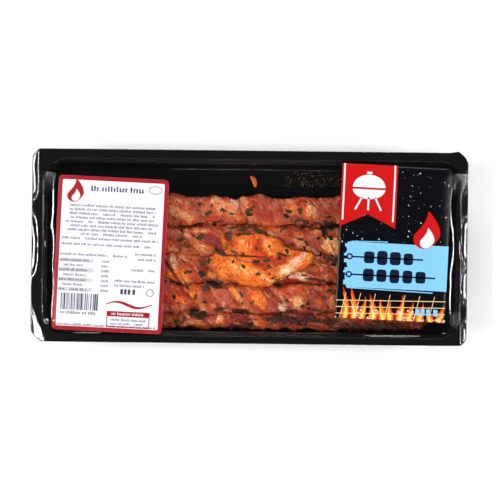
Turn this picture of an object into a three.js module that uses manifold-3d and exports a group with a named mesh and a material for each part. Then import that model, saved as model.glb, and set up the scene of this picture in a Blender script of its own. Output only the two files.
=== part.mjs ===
// A sealed tray of marinated pork belly rolls, lying flat on its base.
// +X runs along the tray, +Y across it, +Z up, in millimetres.
// The origin is on the table under the middle of the tray.
import * as THREE from "three";
import { mergeVertices } from "three/addons/utils/BufferGeometryUtils.js";
import Module from "manifold-3d";

const wasm = await Module();
wasm.setup();

// ---- Driving dimensions ----

const clearance = 0.3; // between pieces that touch
const wall = 0.8; // sheet thickness of the formed tray

// The flange is the flat rim that the film is sealed to. Its corners are cut at 45 degrees or rounded.
const flange = { left: -148, right: 148, front: -66, back: 65, top: 27 };
const flangeCorners = {
  backRight: { size: 9, round: 1 },
  backLeft: { size: 5, round: 0.15 },
  frontLeft: { size: 7, round: 0.2 },
  frontRight: { size: 4.5, round: 0.3 },
};
const peelEar = { height: 1, shoulder: 0.3 }; // the peel corner stands out of the back edge
const endCurl = { depth: 2.2, width: 6 }; // the cut ends of the flange bend down
const cornerCurl = { depth: 3.2, width: 15 }; // and the front left corner bends down further

// The well is the hollow of the tray, given at the flange.
const well = { left: -140, right: 143, front: -60.8, back: 58.4 };
const wellCorners = {
  backRight: { size: 13.5, round: 1 },
  backLeft: { size: 17, round: 1 },
  frontLeft: { size: 15, round: 1 },
  frontRight: { size: 15, round: 1 },
};
const wellTaper = 0.7; // share by which the well's corners tighten as its walls come in
const smallestCorner = 4;
const rimRadius = 0.8;
const flangeShares = [0.3, 0.65]; // where the flange's skin has rings, from the rim to the outer edge
// A narrow step round the top of the well: how far it rises inside, and under the sheet.
const shoulder = { inset: 0.5, width: 1.7, z: 23, rise: 0.5, underRise: -0.1 };
const floorCorner = { inset: 3.2, radius: 4 }; // where the wall turns into the floor
// Stiffening ring pressed up into the floor: its sides slope, and its hollow is narrower.
const rib = { inset: 17, width: 7, height: 1, slope: 1.5, narrower: 0.5 };

// The film rises over a ramp along the rim, where its skin has rings.
const film = { thickness: 0.5, rise: 2.5, rampWidth: 14, rings: [14, 9, 5, 2], smallestCorner: 6 };

const label = {
  width: 74.5,
  height: 104.5,
  thickness: 0.4,
  gap: 0.4,
  corner: 0.7,
  turn: -2.3,
  steps: [0, 2.2, 5, 9, 16], // its grid from each edge inwards, finer where the film bends down
};
const labelPlaces = {
  info_label: { x: -94.1, y: -6.6 },
  front_label: { x: 97.5, y: 3.5 },
};

// The rolls lie side by side in lanes. A lane's edge is a wavy line across the tray.
const laneEdges = [
  { y: 34.8, wave: 1.7, phase: 0.4 },
  { y: 14.6, wave: 1.3, phase: 2.1 },
  { y: -6.2, wave: 1.2, phase: 4.0 },
  { y: -25.9, wave: 1.3, phase: 0.9 },
  { y: -45.2, wave: 1.1, phase: 3.1 },
  { y: -57.0, wave: 0.5, phase: 5.2 },
];
const laneWaveLength = 31;
// The waves of a lane's edge: each one's share, how quick it is, and how often it takes the phase.
const laneWaves = [
  { share: 0.65, rate: 1, phases: 1 },
  { share: 0.35, rate: 0.57, phases: 2 },
];
const laneGap = 0.7;
const rollBase = wall + rib.height + clearance;

// Each roll is a strip of belly wound in a spiral. A seam is the edge of one turn lying on the next,
// and seamX is where one seam crosses the top of the roll.
const rolls = [
  { name: "pork_roll_1", start: -124, end: 121, height: 19.5, pitch: 30, seamX: -36 },
  { name: "pork_roll_2", start: -127, end: 119, height: 18, pitch: 29, seamX: -42 },
  { name: "pork_roll_3", start: -125, end: 122, height: 18.5, pitch: 28, seamX: -26 },
  { name: "pork_roll_4", start: -128, end: 120, height: 20.5, pitch: 30.5, seamX: -40 },
  { name: "pork_roll_5", start: -123, end: 123, height: 14.5, pitch: 31.5, seamX: -30 },
];
const roll = {
  slant: 15, // how far a seam travels along the roll from its back to its front
  slantBlend: 24, // length from an end over which the slant grows
  ledge: 0.22, // share of the height lost at a seam
  ledgePower: 1.4,
  crown: 0.08, // how far the middle of a turn swells
  lumps: { share: 0.07, perTurn: 5.3, perRoll: 1.7, skew: 2.9 },
  waves: { height: 0.5, length: 17, perRoll: 2.3 }, // of the crest along a roll
  endRound: 11, // length over which an end closes
  endWidth: 0.3, // share of the width and of the height that a closed end keeps
  endHeight: 0.35,
  endMargin: 2.5, // no ring lies nearer than this to an end
  waist: 0.42, // share of the height at which a roll is widest
  topPower: 0.66, // how full its section is above and below the waist
  underPower: 0.6,
  sides: 12,
  turnSteps: [0.02, 0.14, 0.36, 0.6, 0.82, 0.98],
};

// The end of one strip is folded over the middle of the second and third roll.
const flap = {
  base: 17.1,
  rim: 0.9,
  least: 1.2, // its top is nowhere lower than this over the rim
  rings: 5,
  ringPower: 0.8, // rings lie closer towards the edge
  rimShare: 0.95, // the outermost ring that follows the swellings
  sides: 40,
  middle: [8, -9],
  outline: [
    [46, -8], [40, -3.5], [25, -1], [17, 6], [5, 9.5], [-8, 8], [-14, 0],
    [-26, -8], [-26, -15], [-14, -24], [3, -26.5], [16, -26.5], [26, -19], [38, -14],
  ],
};
// The rolls are pressed down under the fold, within this box in plan.
const flapDip = { from: -33, to: 52, front: -28, back: 14, blend: 9, top: 16 };
// Swellings of the fold: from and to are the ends of each, in plan.
const flapSwellings = [
  { from: [-1, 0], to: [11, 0], radius: 12, height: 4.6 },
  { from: [-19, -13], to: [11, -22], radius: 8.5, height: 4.4 },
  { from: [14, -21.5], to: [40, -8], radius: 6.5, height: 3.9 },
];

// Chopped chives stuck to the meat. A spread is given as its least value and its range.
const chive = {
  length: 3.6,
  width: 1.7,
  thickness: 1.7,
  proud: 0.5,
  sizes: [0.85, 0.4],
  perRoll: 9,
  fromEnd: 16,
  rollScatter: 0.8,
  halfTurns: [0.36, 0.28], // round the roll, over its top
  onFlap: 7,
  flapScatter: 0.6,
  flapShares: [0.35, 0.35], // from the fold's middle to its edge
  flapSize: 0.9,
};

// A crumb of meat that came loose lies on the floor behind the rolls.
const scrap = {
  x: 2.4,
  y: 45,
  length: 8,
  width: 3.2,
  height: 2.4,
  turn: -62,
  steps: 8,
  sides: 8,
  endSize: 0.35,
  taper: [0.08, 0.84], // part of a half wave that its thickness follows
  bend: 0.6,
  bendRate: 4,
};
const scrapFlake = { thickness: 1.2, turn: 0.5, along: 0.48, y: 0.6, z: 0.9 };

// ---- Small helpers ----

const within = ([least, range], share) => least + range * share;

const smooth = (t) => {
  const s = Math.min(1, Math.max(0, t));
  return s * s * (3 - 2 * s);
};

// Repeatable random numbers from 0 to 1.
function randomSource(seed) {
  let state = seed;
  return () => {
    state = (state * 16807) % 2147483647;
    return state / 2147483647;
  };
}

// A closed skin through a row of rings with the same number of points, with a fan over each end.
// Seen from outside the first ring's end, its points run anticlockwise. Each four-sided cell is
// split along its shorter diagonal, so that skins of the same form are split alike.
function closedSkin(rings) {
  const count = rings[0].length;
  const points = rings.flat();
  const last = (rings.length - 1) * count;
  const middleOf = (ring) =>
    ring.reduce((sum, p) => sum.add(p), new THREE.Vector3()).divideScalar(count);
  const firstMiddle = points.push(middleOf(rings[0])) - 1;
  const lastMiddle = points.push(middleOf(rings.at(-1))) - 1;
  const faces = [];
  for (let i = 0; i < count; i++) {
    const next = (i + 1) % count;
    faces.push(firstMiddle, i, next);
    for (let row = 0; row < last; row += count) {
      const [a, b, c, d] = [row + i, row + count + i, row + count + next, row + next];
      const splitAtA = points[a].distanceTo(points[c]) < points[b].distanceTo(points[d]) + 1e-4;
      faces.push(...(splitAtA ? [a, b, c, a, c, d] : [a, b, d, b, c, d]));
    }
    faces.push(lastMiddle, last + next, last + i);
  }
  const geometry = new THREE.BufferGeometry().setFromPoints(points);
  geometry.setIndex(faces);
  return geometry;
}

function toSolid(geometry) {
  const bare = geometry.clone();
  bare.deleteAttribute("normal");
  bare.deleteAttribute("uv");
  const merged = mergeVertices(bare, 1e-4);
  return new wasm.Manifold(
    new wasm.Mesh({
      numProp: 3,
      vertProperties: new Float32Array(merged.attributes.position.array),
      triVerts: new Uint32Array(merged.index.array),
    }),
  );
}

function fromSolid(solid) {
  const mesh = solid.getMesh();
  const geometry = new THREE.BufferGeometry();
  geometry.setAttribute("position", new THREE.BufferAttribute(mesh.vertProperties, 3));
  geometry.setIndex(new THREE.BufferAttribute(mesh.triVerts, 1));
  return geometry;
}

// ---- Outlines of the tray ----

// Steps of the outlines' corners, long sides and short ends.
const cornerSteps = 5;
const longSteps = 9;
const shortSteps = 4;

// A rectangle with cut or rounded corners, anticlockwise seen from above.
function frameLoop(box, corners) {
  const places = [
    [corners.backRight, box.right, box.back, 0, longSteps],
    [corners.backLeft, box.left, box.back, 1, shortSteps],
    [corners.frontLeft, box.left, box.front, 2, longSteps],
    [corners.frontRight, box.right, box.front, 3, shortSteps],
  ];
  const arcs = places.map(([corner, x, y, quarter]) => cornerArc(corner, x, y, quarter));
  const loop = [];
  arcs.forEach((arc, i) => {
    const from = arc.at(-1);
    const to = arcs[(i + 1) % arcs.length][0];
    const steps = places[i][4];
    loop.push(...arc);
    for (let k = 1; k < steps; k++) loop.push(from.clone().lerp(to, k / steps));
  });
  return loop;
}

function cornerArc({ size, round }, x, y, quarter) {
  const quarterTurn = Math.PI / 2;
  const middle = new THREE.Vector2(x - Math.sign(x) * size, y - Math.sign(y) * size);
  const at = (turns) =>
    new THREE.Vector2(Math.cos(turns * quarterTurn), Math.sin(turns * quarterTurn))
      .multiplyScalar(size)
      .add(middle);
  const points = [];
  for (let k = 0; k <= cornerSteps; k++) {
    const t = k / cornerSteps;
    const cut = at(quarter).lerp(at(quarter + 1), t);
    points.push(cut.lerp(at(quarter + t), round));
  }
  return points;
}

function insetWell(inset, smallest = smallestCorner) {
  const box = {
    left: well.left + inset,
    right: well.right - inset,
    front: well.front + inset,
    back: well.back - inset,
  };
  const corners = {};
  for (const [name, corner] of Object.entries(wellCorners)) {
    corners[name] = { size: Math.max(smallest, corner.size - inset * wellTaper), round: 1 };
  }
  return frameLoop(box, corners);
}

function flangeLoop() {
  const loop = frameLoop(flange, flangeCorners);
  const onEar = loop[cornerSteps - 1];
  onEar.y = flange.back + peelEar.height;
  loop[cornerSteps - 2].lerp(onEar, peelEar.shoulder);
  return loop;
}

const mixLoops = (a, b, t) => a.map((p, i) => p.clone().lerp(b[i], t));

// How far the flange is bent down at a point.
function curlAt(x, y) {
  const fromEnd = Math.min(x - flange.left, flange.right - x);
  const fromCorner = Math.hypot(x - flange.left, y - flange.front);
  const end = Math.max(0, 1 - fromEnd / endCurl.width);
  const corner = Math.max(0, 1 - fromCorner / cornerCurl.width);
  return endCurl.depth * end * end + cornerCurl.depth * corner * corner;
}

// How far a point is inside the rim of the well.
function insideWell(x, y) {
  const fromX = Math.min(x - well.left, well.right - x);
  const fromY = Math.min(y - well.front, well.back - y);
  const side = x < (well.left + well.right) / 2 ? "Left" : "Right";
  const end = y < (well.front + well.back) / 2 ? "front" : "back";
  const radius = wellCorners[end + side].size;
  if (fromX < radius && fromY < radius) {
    return radius - Math.hypot(radius - fromX, radius - fromY);
  }
  return Math.min(fromX, fromY);
}

// ---- Tray ----

const lift = (loop, height) => loop.map((p) => new THREE.Vector3(p.x, p.y, height(p.x, p.y)));
const flat = (loop, z) => lift(loop, () => z);

function trayGeometry() {
  const flangeHeight = (x, y) => flange.top - curlAt(x, y);
  const underFlange = (x, y) => flangeHeight(x, y) - wall;
  const outer = flangeLoop();
  const rim = insetWell(-rimRadius);
  const ribOuter = rib.inset;
  const ribInner = rib.inset + rib.width;
  const corner = floorCorner;
  const bend = (turn, radius, z) => {
    const angle = (turn * Math.PI) / 180;
    const inset = corner.inset + radius * (1 - Math.cos(angle));
    return [inset, z + radius * (1 - Math.sin(angle))];
  };
  const inside = [
    [ribInner + rib.slope, wall],
    [ribInner, wall + rib.height],
    [ribOuter + rib.slope, wall + rib.height],
    [ribOuter, wall],
    bend(90, corner.radius, wall),
    bend(45, corner.radius, wall),
    bend(0, corner.radius, wall),
    [shoulder.inset + shoulder.width, shoulder.z],
    [shoulder.inset, shoulder.z + shoulder.rise],
    [0, flange.top - rimRadius],
  ].map(([inset, z]) => flat(insetWell(inset), z));
  const outside = [
    [-wall, flange.top - rimRadius - wall],
    [shoulder.inset - wall, shoulder.z + shoulder.underRise],
    [shoulder.inset + shoulder.width - wall, shoulder.z - wall],
    [corner.inset - wall, corner.radius + wall],
    bend(45, corner.radius + wall, 0).map((v, i) => (i ? v : v - wall)),
    [corner.inset + corner.radius, 0],
    [ribOuter + rib.narrower, 0],
    [ribOuter + rib.slope + rib.narrower, rib.height],
    [ribInner - rib.narrower, rib.height],
    [ribInner + rib.slope - rib.narrower, 0],
  ].map(([inset, z]) => flat(insetWell(inset), z));
  return closedSkin([
    ...inside,
    lift(rim, flangeHeight),
    ...flangeShares.map((share) => lift(mixLoops(rim, outer, share), flangeHeight)),
    lift(outer, flangeHeight),
    lift(outer, underFlange),
    ...flangeShares.toReversed().map((share) => lift(mixLoops(rim, outer, share), underFlange)),
    ...outside,
  ]);
}

// ---- Film and labels ----

// Underside of the film: sealed flat to the flange, and blown up a little over the well.
function filmUnder(x, y) {
  const across = Math.min(1, Math.max(0, insideWell(x, y) / film.rampWidth));
  const rise = film.rise * (1 - (1 - across) ** 2);
  return flange.top - curlAt(x, y) + clearance + rise;
}

const filmTop = (x, y) => filmUnder(x, y) + film.thickness;

function filmGeometry() {
  const outer = flangeLoop();
  const rim = insetWell(-rimRadius);
  const loops = [
    ...film.rings.map((inset) => insetWell(inset, film.smallestCorner)),
    rim,
    ...[...flangeShares, 1].map((share) => mixLoops(rim, outer, share)),
  ];
  return closedSkin([
    ...loops.map((loop) => lift(loop, filmTop)),
    ...loops.toReversed().map((loop) => lift(loop, filmUnder)),
  ]);
}

// A paper label that follows the film.
function labelGeometry(place) {
  const fromFarEdge = (size) => label.steps.toReversed().map((step) => size - step);
  const across = (size) => [...label.steps, size / 2, ...fromFarEdge(size)];
  const isEnd = (list, i) => i === 0 || i === list.length - 1;
  const columns = across(label.width).map((s) => s - label.width / 2);
  const rows = across(label.height).map((s) => s - label.height / 2);
  const turn = (label.turn * Math.PI) / 180;
  const rings = [];
  for (const top of [false, true]) {
    rows.forEach((v, row) => {
      const line = columns.map((u, column) => {
        const pull = isEnd(rows, row) && isEnd(columns, column) ? label.corner : 0;
        const p = new THREE.Vector2(u - Math.sign(u) * pull, v - Math.sign(v) * pull);
        p.rotateAround(new THREE.Vector2(), turn);
        const x = place.x + p.x;
        const y = place.y + p.y;
        return new THREE.Vector3(x, y, filmTop(x, y) + label.gap + (top ? label.thickness : 0));
      });
      rings.push(line);
    });
  }
  return boardSkin(rings, columns.length, rows.length);
}

// Joins two grids of points, the lower one first, into one closed thin solid.
function boardSkin(lines, columns, rows) {
  const points = lines.flat();
  const at = (top, row, column) => (top * rows + row) * columns + column;
  const faces = [];
  const quad = (a, b, c, d) => faces.push(a, b, c, a, c, d);
  for (let r = 0; r + 1 < rows; r++) {
    for (let c = 0; c + 1 < columns; c++) {
      quad(at(1, r, c), at(1, r, c + 1), at(1, r + 1, c + 1), at(1, r + 1, c));
      quad(at(0, r, c), at(0, r + 1, c), at(0, r + 1, c + 1), at(0, r, c + 1));
    }
    const lastColumn = columns - 1;
    quad(at(0, r, 0), at(1, r, 0), at(1, r + 1, 0), at(0, r + 1, 0));
    quad(at(0, r + 1, lastColumn), at(1, r + 1, lastColumn), at(1, r, lastColumn), at(0, r, lastColumn));
  }
  for (let c = 0; c + 1 < columns; c++) {
    const lastRow = rows - 1;
    quad(at(0, 0, c), at(0, 0, c + 1), at(1, 0, c + 1), at(1, 0, c));
    quad(at(0, lastRow, c + 1), at(0, lastRow, c), at(1, lastRow, c), at(1, lastRow, c + 1));
  }
  const geometry = new THREE.BufferGeometry().setFromPoints(points);
  geometry.setIndex(faces);
  return geometry;
}

// ---- Pork rolls ----

function laneEdge(index, x) {
  const { y, wave, phase } = laneEdges[index];
  const angle = (2 * Math.PI * x) / laneWaveLength;
  const waves = laneWaves.map(
    ({ share, rate, phases }) => share * Math.sin(angle * rate + phase * phases),
  );
  return y + wave * waves.reduce((sum, value) => sum + value);
}

// The height of a roll along its length: the two rolls under the fold are pressed down there.
function crestAt(index, x) {
  const { height } = rolls[index];
  const swell = roll.waves.height * Math.sin(x / roll.waves.length + index * roll.waves.perRoll);
  if (index !== 1 && index !== 2) return height + swell;
  const inside = Math.min(x - flapDip.from, flapDip.to - x);
  return THREE.MathUtils.lerp(height + swell, flapDip.top, smooth(inside / flapDip.blend + 0.5));
}

// Relief of a wound strip, 1 at its highest: turn counts the turns from the seam at seamX.
function windingRelief(index, turn, angle) {
  const across = turn - Math.floor(turn);
  const fall = roll.ledge * across ** roll.ledgePower;
  const crown = roll.crown * (1 - Math.sin(Math.PI * across));
  const { share, perTurn, perRoll, skew } = roll.lumps;
  const lump = Math.sin(turn * perTurn + index * perRoll) * Math.cos(angle * 2 + turn * skew + index);
  return 1 - fall - crown - (share * (1 + lump)) / 2;
}

// How open the roll is: 0 at its closed ends and 1 along its length.
function openness(index, x) {
  const { start, end } = rolls[index];
  const fromEnd = Math.min(x - start, end - x) / roll.endRound;
  const t = Math.min(1, Math.max(0, fromEnd));
  return Math.sqrt(1 - (1 - t) ** 2);
}

// A point of the roll's skin. Angle 0 is the back of the roll and a quarter turn is its top.
function rollPoint(index, turn, angle) {
  const { pitch, seamX, start, end } = rolls[index];
  const along = seamX + turn * pitch;
  const slant = roll.slant * smooth(Math.min(along - start, end - along) / roll.slantBlend);
  const x = Math.min(end, Math.max(start, along - (slant * Math.cos(angle)) / 2));
  const back = laneEdge(index, x) - laneGap / 2;
  const front = laneEdge(index + 1, x) + laneGap / 2;
  const open = Math.max(roll.endWidth, openness(index, along));
  const middleY = (back + front) / 2;
  const halfWidth = ((back - front) / 2) * open;
  const tall = THREE.MathUtils.lerp(roll.endHeight, 1, open);
  const top = rollBase + (crestAt(index, x) - rollBase) * tall;
  const middleZ = rollBase + (top - rollBase) * roll.waist;
  const up = Math.sin(angle);
  const z =
    up > 0
      ? middleZ + (top - middleZ) * up ** roll.topPower * windingRelief(index, turn, angle)
      : middleZ - (middleZ - rollBase) * Math.abs(up) ** roll.underPower;
  return new THREE.Vector3(x, middleY + halfWidth * Math.cos(angle), z);
}

function rollRings(index) {
  const { pitch, seamX, start, end } = rolls[index];
  const firstTurn = Math.floor((start - seamX) / pitch);
  const lastTurn = Math.ceil((end - seamX) / pitch);
  const turns = [];
  for (let t = firstTurn; t < lastTurn; t++) {
    turns.push(...roll.turnSteps.map((step) => t + step));
  }
  const kept = turns.filter((turn) => {
    const x = seamX + turn * pitch;
    return x > start + roll.endMargin && x < end - roll.endMargin;
  });
  const ends = [(start - seamX) / pitch, (end - seamX) / pitch];
  return [ends[0], ...kept, ends[1]].map((turn) => {
    const ring = [];
    for (let k = 0; k < roll.sides; k++) {
      ring.push(rollPoint(index, turn, (-2 * Math.PI * k) / roll.sides));
    }
    return ring;
  });
}

// A chive flake lying on a surface at a point, turned about the surface's normal.
function chiveSolid(point, normal, turn, scale) {
  const box = new THREE.BoxGeometry(chive.length * scale, chive.width * scale, chive.thickness);
  box.translate(0, 0, chive.proud - chive.thickness / 2);
  box.rotateZ(turn);
  const tilt = new THREE.Quaternion().setFromUnitVectors(new THREE.Vector3(0, 0, 1), normal);
  box.applyQuaternion(tilt);
  box.translate(point.x, point.y, point.z);
  return toSolid(box);
}

function normalOf(point, alongX, alongY) {
  const dx = alongX.clone().sub(point);
  const dy = alongY.clone().sub(point);
  return dx.cross(dy).normalize();
}

function underFlap({ x, y }) {
  return x > flapDip.from && x < flapDip.to && y > flapDip.front && y < flapDip.back;
}

function rollGeometry(index) {
  const random = randomSource(71 + index * 13);
  const { start, end, pitch, seamX } = rolls[index];
  const room = end - start - 2 * chive.fromEnd;
  const nearby = 0.03;
  let solid = toSolid(closedSkin(rollRings(index)));
  for (let k = 0; k < chive.perRoll; k++) {
    const share = (k + random() * chive.rollScatter) / chive.perRoll;
    const turn = (start + chive.fromEnd + room * share - seamX) / pitch;
    const angle = Math.PI * within(chive.halfTurns, random());
    const spin = random() * Math.PI;
    const point = rollPoint(index, turn, angle);
    if (underFlap(point)) continue;
    const normal = normalOf(
      point,
      rollPoint(index, turn + nearby, angle),
      rollPoint(index, turn, angle - nearby),
    );
    solid = solid.add(chiveSolid(point, normal, spin, within(chive.sizes, random())));
  }
  return fromSolid(solid);
}

// ---- The folded end over the middle ----

function nearSegment(x, y, from, to) {
  const dx = to[0] - from[0];
  const dy = to[1] - from[1];
  const t = Math.min(1, Math.max(0, ((x - from[0]) * dx + (y - from[1]) * dy) / (dx * dx + dy * dy)));
  return Math.hypot(x - from[0] - t * dx, y - from[1] - t * dy);
}

// Height of the fold's top: the highest of its swellings.
function flapTop(x, y) {
  const heights = flapSwellings.map(({ from, to, radius, height }) => {
    const near = nearSegment(x, y, from, to) / radius;
    return height * Math.sqrt(Math.max(0, 1 - near * near));
  });
  return flap.base + flap.rim + Math.max(flap.least, ...heights);
}

function flapGeometry() {
  const curve = new THREE.CatmullRomCurve3(
    flap.outline.map(([x, y]) => new THREE.Vector3(x, y, 0)),
    true,
  );
  const outline = curve.getSpacedPoints(flap.sides).slice(0, flap.sides);
  const middle = new THREE.Vector3(flap.middle[0], flap.middle[1], 0);
  const loopAt = (share, height) =>
    outline.map((p) => {
      const q = middle.clone().lerp(p, share);
      return new THREE.Vector3(q.x, q.y, height(q.x, q.y));
    });
  const rings = [];
  for (let k = 1; k <= flap.rings; k++) {
    rings.push(loopAt(((flap.rimShare * k) / flap.rings) ** flap.ringPower, flapTop));
  }
  rings.push(loopAt(1, () => flap.base + flap.rim));
  rings.push(loopAt(1, () => flap.base));
  let solid = toSolid(closedSkin(rings));
  const random = randomSource(407);
  for (let k = 0; k < chive.onFlap; k++) {
    const share = within(chive.flapShares, random());
    const round = (k + random() * chive.flapScatter) / chive.onFlap;
    const at = middle.clone().lerp(outline[Math.floor(flap.sides * round)], share);
    const point = new THREE.Vector3(at.x, at.y, flapTop(at.x, at.y));
    const normal = new THREE.Vector3(0, 0, 1);
    solid = solid.add(chiveSolid(point, normal, random() * Math.PI, chive.flapSize));
  }
  return fromSolid(solid);
}

// A crumb of fat with a chive flake at its lower end.
function scrapGeometry() {
  const rings = [];
  for (let i = 0; i <= scrap.steps; i++) {
    const t = i / scrap.steps;
    const swell = Math.sin(Math.PI * within(scrap.taper, t));
    const size = THREE.MathUtils.lerp(scrap.endSize, 1, swell);
    const bend = scrap.bend * Math.sin(scrap.bendRate * t);
    const ring = [];
    for (let k = 0; k < scrap.sides; k++) {
      const angle = (-2 * Math.PI * k) / scrap.sides;
      ring.push(
        new THREE.Vector3(
          (t - 0.5) * scrap.length,
          (Math.cos(angle) * size * scrap.width) / 2 + bend,
          ((1 + Math.sin(angle) * size) * scrap.height) / 2,
        ),
      );
    }
    rings.push(ring);
  }
  const crumb = toSolid(closedSkin(rings));
  const flake = new THREE.BoxGeometry(chive.length, chive.width, scrapFlake.thickness);
  flake.rotateZ(scrapFlake.turn);
  flake.translate(scrap.length * scrapFlake.along, scrapFlake.y, scrapFlake.z);
  const solid = crumb.add(toSolid(flake));
  const geometry = fromSolid(solid);
  geometry.rotateZ((scrap.turn * Math.PI) / 180);
  geometry.computeBoundingBox();
  const onFloor = wall + clearance - geometry.boundingBox.min.z;
  geometry.translate(scrap.x, scrap.y, onFloor);
  return geometry;
}

// ---- Assembly ----

const materials = {
  tray: { color: 0x17171a, roughness: 0.32 },
  film: { color: 0xf2f4f7, roughness: 0.08, transparent: true, opacity: 0.25 },
  infoLabel: { color: 0xf0f0f8, roughness: 0.4 },
  frontLabel: { color: 0x17181c, roughness: 0.3 },
  pork: { color: 0xb5583f, roughness: 0.35 },
  fold: { color: 0xe08a3c, roughness: 0.35 },
};

function mesh(name, geometry, look) {
  geometry.computeVertexNormals();
  const made = new THREE.Mesh(geometry, new THREE.MeshStandardMaterial({ metalness: 0, ...look }));
  made.name = name;
  return made;
}

const pack = new THREE.Group();
pack.add(mesh("tray", trayGeometry(), materials.tray));
pack.add(mesh("film", filmGeometry(), materials.film));
pack.add(mesh("info_label", labelGeometry(labelPlaces.info_label), materials.infoLabel));
pack.add(mesh("front_label", labelGeometry(labelPlaces.front_label), materials.frontLabel));

const contents = new THREE.Group();
rolls.forEach(({ name }, index) => contents.add(mesh(name, rollGeometry(index), materials.pork)));
contents.add(mesh("pork_flap", flapGeometry(), materials.fold));
contents.add(mesh("pork_scrap", scrapGeometry(), materials.fold));
pack.add(contents);

export default pack;
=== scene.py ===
"""Looks of a sealed tray of marinated pork belly rolls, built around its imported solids.

Shapes are worked out in millimetres in the tray's own frame, +X along the tray, +Y across it and
+Z up, and turned into metres where each mesh is made. Colours are linear.
"""

import itertools
import math

import bpy
import numpy as np
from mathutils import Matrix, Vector
from mathutils.bvhtree import BVHTree
from mathutils.geometry import tessellate_polygon


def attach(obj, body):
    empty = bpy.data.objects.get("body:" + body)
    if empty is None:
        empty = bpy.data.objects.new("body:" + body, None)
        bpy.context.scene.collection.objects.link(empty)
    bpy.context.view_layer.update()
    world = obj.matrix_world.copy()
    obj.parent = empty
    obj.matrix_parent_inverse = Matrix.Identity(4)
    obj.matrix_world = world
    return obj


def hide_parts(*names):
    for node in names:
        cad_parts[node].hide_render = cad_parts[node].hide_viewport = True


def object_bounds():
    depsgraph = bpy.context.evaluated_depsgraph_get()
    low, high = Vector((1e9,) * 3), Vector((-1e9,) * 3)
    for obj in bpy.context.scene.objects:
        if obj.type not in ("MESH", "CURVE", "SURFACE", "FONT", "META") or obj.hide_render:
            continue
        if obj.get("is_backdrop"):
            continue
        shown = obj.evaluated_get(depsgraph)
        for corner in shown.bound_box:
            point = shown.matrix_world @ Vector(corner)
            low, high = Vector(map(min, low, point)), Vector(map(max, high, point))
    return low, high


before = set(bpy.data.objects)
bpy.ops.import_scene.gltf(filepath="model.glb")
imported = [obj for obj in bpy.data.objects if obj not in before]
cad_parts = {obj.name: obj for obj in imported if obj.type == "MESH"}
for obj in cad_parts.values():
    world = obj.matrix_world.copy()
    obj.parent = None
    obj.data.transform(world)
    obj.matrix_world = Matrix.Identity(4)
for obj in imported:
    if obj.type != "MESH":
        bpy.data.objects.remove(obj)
cad_low, cad_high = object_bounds()

MM = 0.001

# ---- Sizes in millimetres, as in the solids ----

CLEARANCE = 0.3
WALL = 0.8
FLANGE = {"left": -148.0, "right": 148.0, "front": -66.0, "back": 65.0}
FLANGE_TOP = 27.0
# Corner size and roundness in the order back right, back left, front left, front right.
FLANGE_CORNERS = [(9, 1), (5, 0.15), (7, 0.2), (4.5, 0.3)]
PEEL_EAR = {"x": 141.0, "behind": 60.0, "reach": 2.2, "height": 1.0}
END_CURL = {"drop": 2.2, "reach": 6.0}
# The flange's folded corner: a point of its crease, the way it falls, and its slope.
CORNER_FOLD = {"x": -147.0, "y": -44.0, "turn": math.radians(205), "slope": 0.36}
WELL = {"left": -140.0, "right": 143.0, "front": -60.8, "back": 58.4}
WELL_CORNERS = [13.5, 17, 15, 15]  # their radii, in the same order
RIM_RADIUS = 0.8
FILM_RISE = 2.88  # up to the top of the film's thicker solid
FILM_RAMP = 16.0
FILM_THICKNESS = 0.12
LABEL_SIZE = (74.5, 104.5)
LABEL_TURN = math.radians(-2.3)
LABEL_PLACES = {"info": (-94.1, -6.6), "front": (97.5, 3.5)}
LABEL_THICKNESS = 0.15
LABEL_GLUE = 0.04

# The rolls lie in lanes. A lane's edge is a wavy line along the tray: its place across the tray,
# its wave and its phase.
LANE_EDGES = [
    (34.8, 1.7, 0.4), (14.6, 1.3, 2.1), (-6.2, 1.2, 4.0),
    (-25.9, 1.3, 0.9), (-45.2, 1.1, 3.1), (-57.0, 0.5, 5.2),
]
LANE_WAVE_LENGTH = 31.0
LANE_GAP = 0.7
ROLL_BASE = 2.1
# Each roll: its ends along the tray, its height, and the pitch and one place of its seams.
ROLLS = [
    {"start": -124, "end": 121, "height": 19.5, "pitch": 30.0, "seam": -36},
    {"start": -127, "end": 119, "height": 18.0, "pitch": 29.0, "seam": -42},
    {"start": -125, "end": 122, "height": 18.5, "pitch": 28.0, "seam": -26},
    {"start": -128, "end": 120, "height": 20.5, "pitch": 30.5, "seam": -40},
    {"start": -123, "end": 123, "height": 14.5, "pitch": 31.5, "seam": -30},
]
ROLL_MIDDLE = 0.42  # where a roll is widest, as a share of its height
SLANT = 15.0  # how far a seam runs along the tray between the roll's back and front
# Relief of the wound strip, as shares of the height over the roll's middle.
LEDGE = 0.22
CROWN = 0.08
LUMPS = 0.07
END_ROUND = 11.0  # the length over which a roll's end closes

# The end of one strip, folded over the middle of the second and third roll.
FLAP_BASE = 17.1
FLAP_RIM = 0.9
FLAP_MIDDLE = (8, -9)
FLAP_OUTLINE = [
    (46, -8), (40, -3.5), (25, -1), (17, 6), (5, 9.5), (-8, 8), (-14, 0),
    (-26, -8), (-26, -15), (-14, -24), (3, -26.5), (16, -26.5), (26, -19), (38, -14),
]
# The rolls under the fold are pressed down between two places along the tray, to this height.
FLAP_DIP = {"from": -33, "to": 52, "blend": 9, "top": 16.6}
FLAP_SIDES = (-28, 14)  # no even chives lie between these, where the fold is
# Swellings of the fold: the ends of each in plan, its radius and its height.
FLAP_SWELLINGS = [
    ((-1, 0), (11, 0), 12, 4.6),
    ((-19, -13), (11, -22), 8.5, 4.4),
    ((14, -21.5), (40, -8), 6.5, 3.9),
]

CHIVE = {"length": 3.6, "width": 1.7, "per_roll": 9, "on_flap": 7}
SCRAP = {"x": 2.4, "y": 45, "length": 8, "width": 3.2, "height": 2.4, "turn": -62}


# ---- Numbers ----


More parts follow.
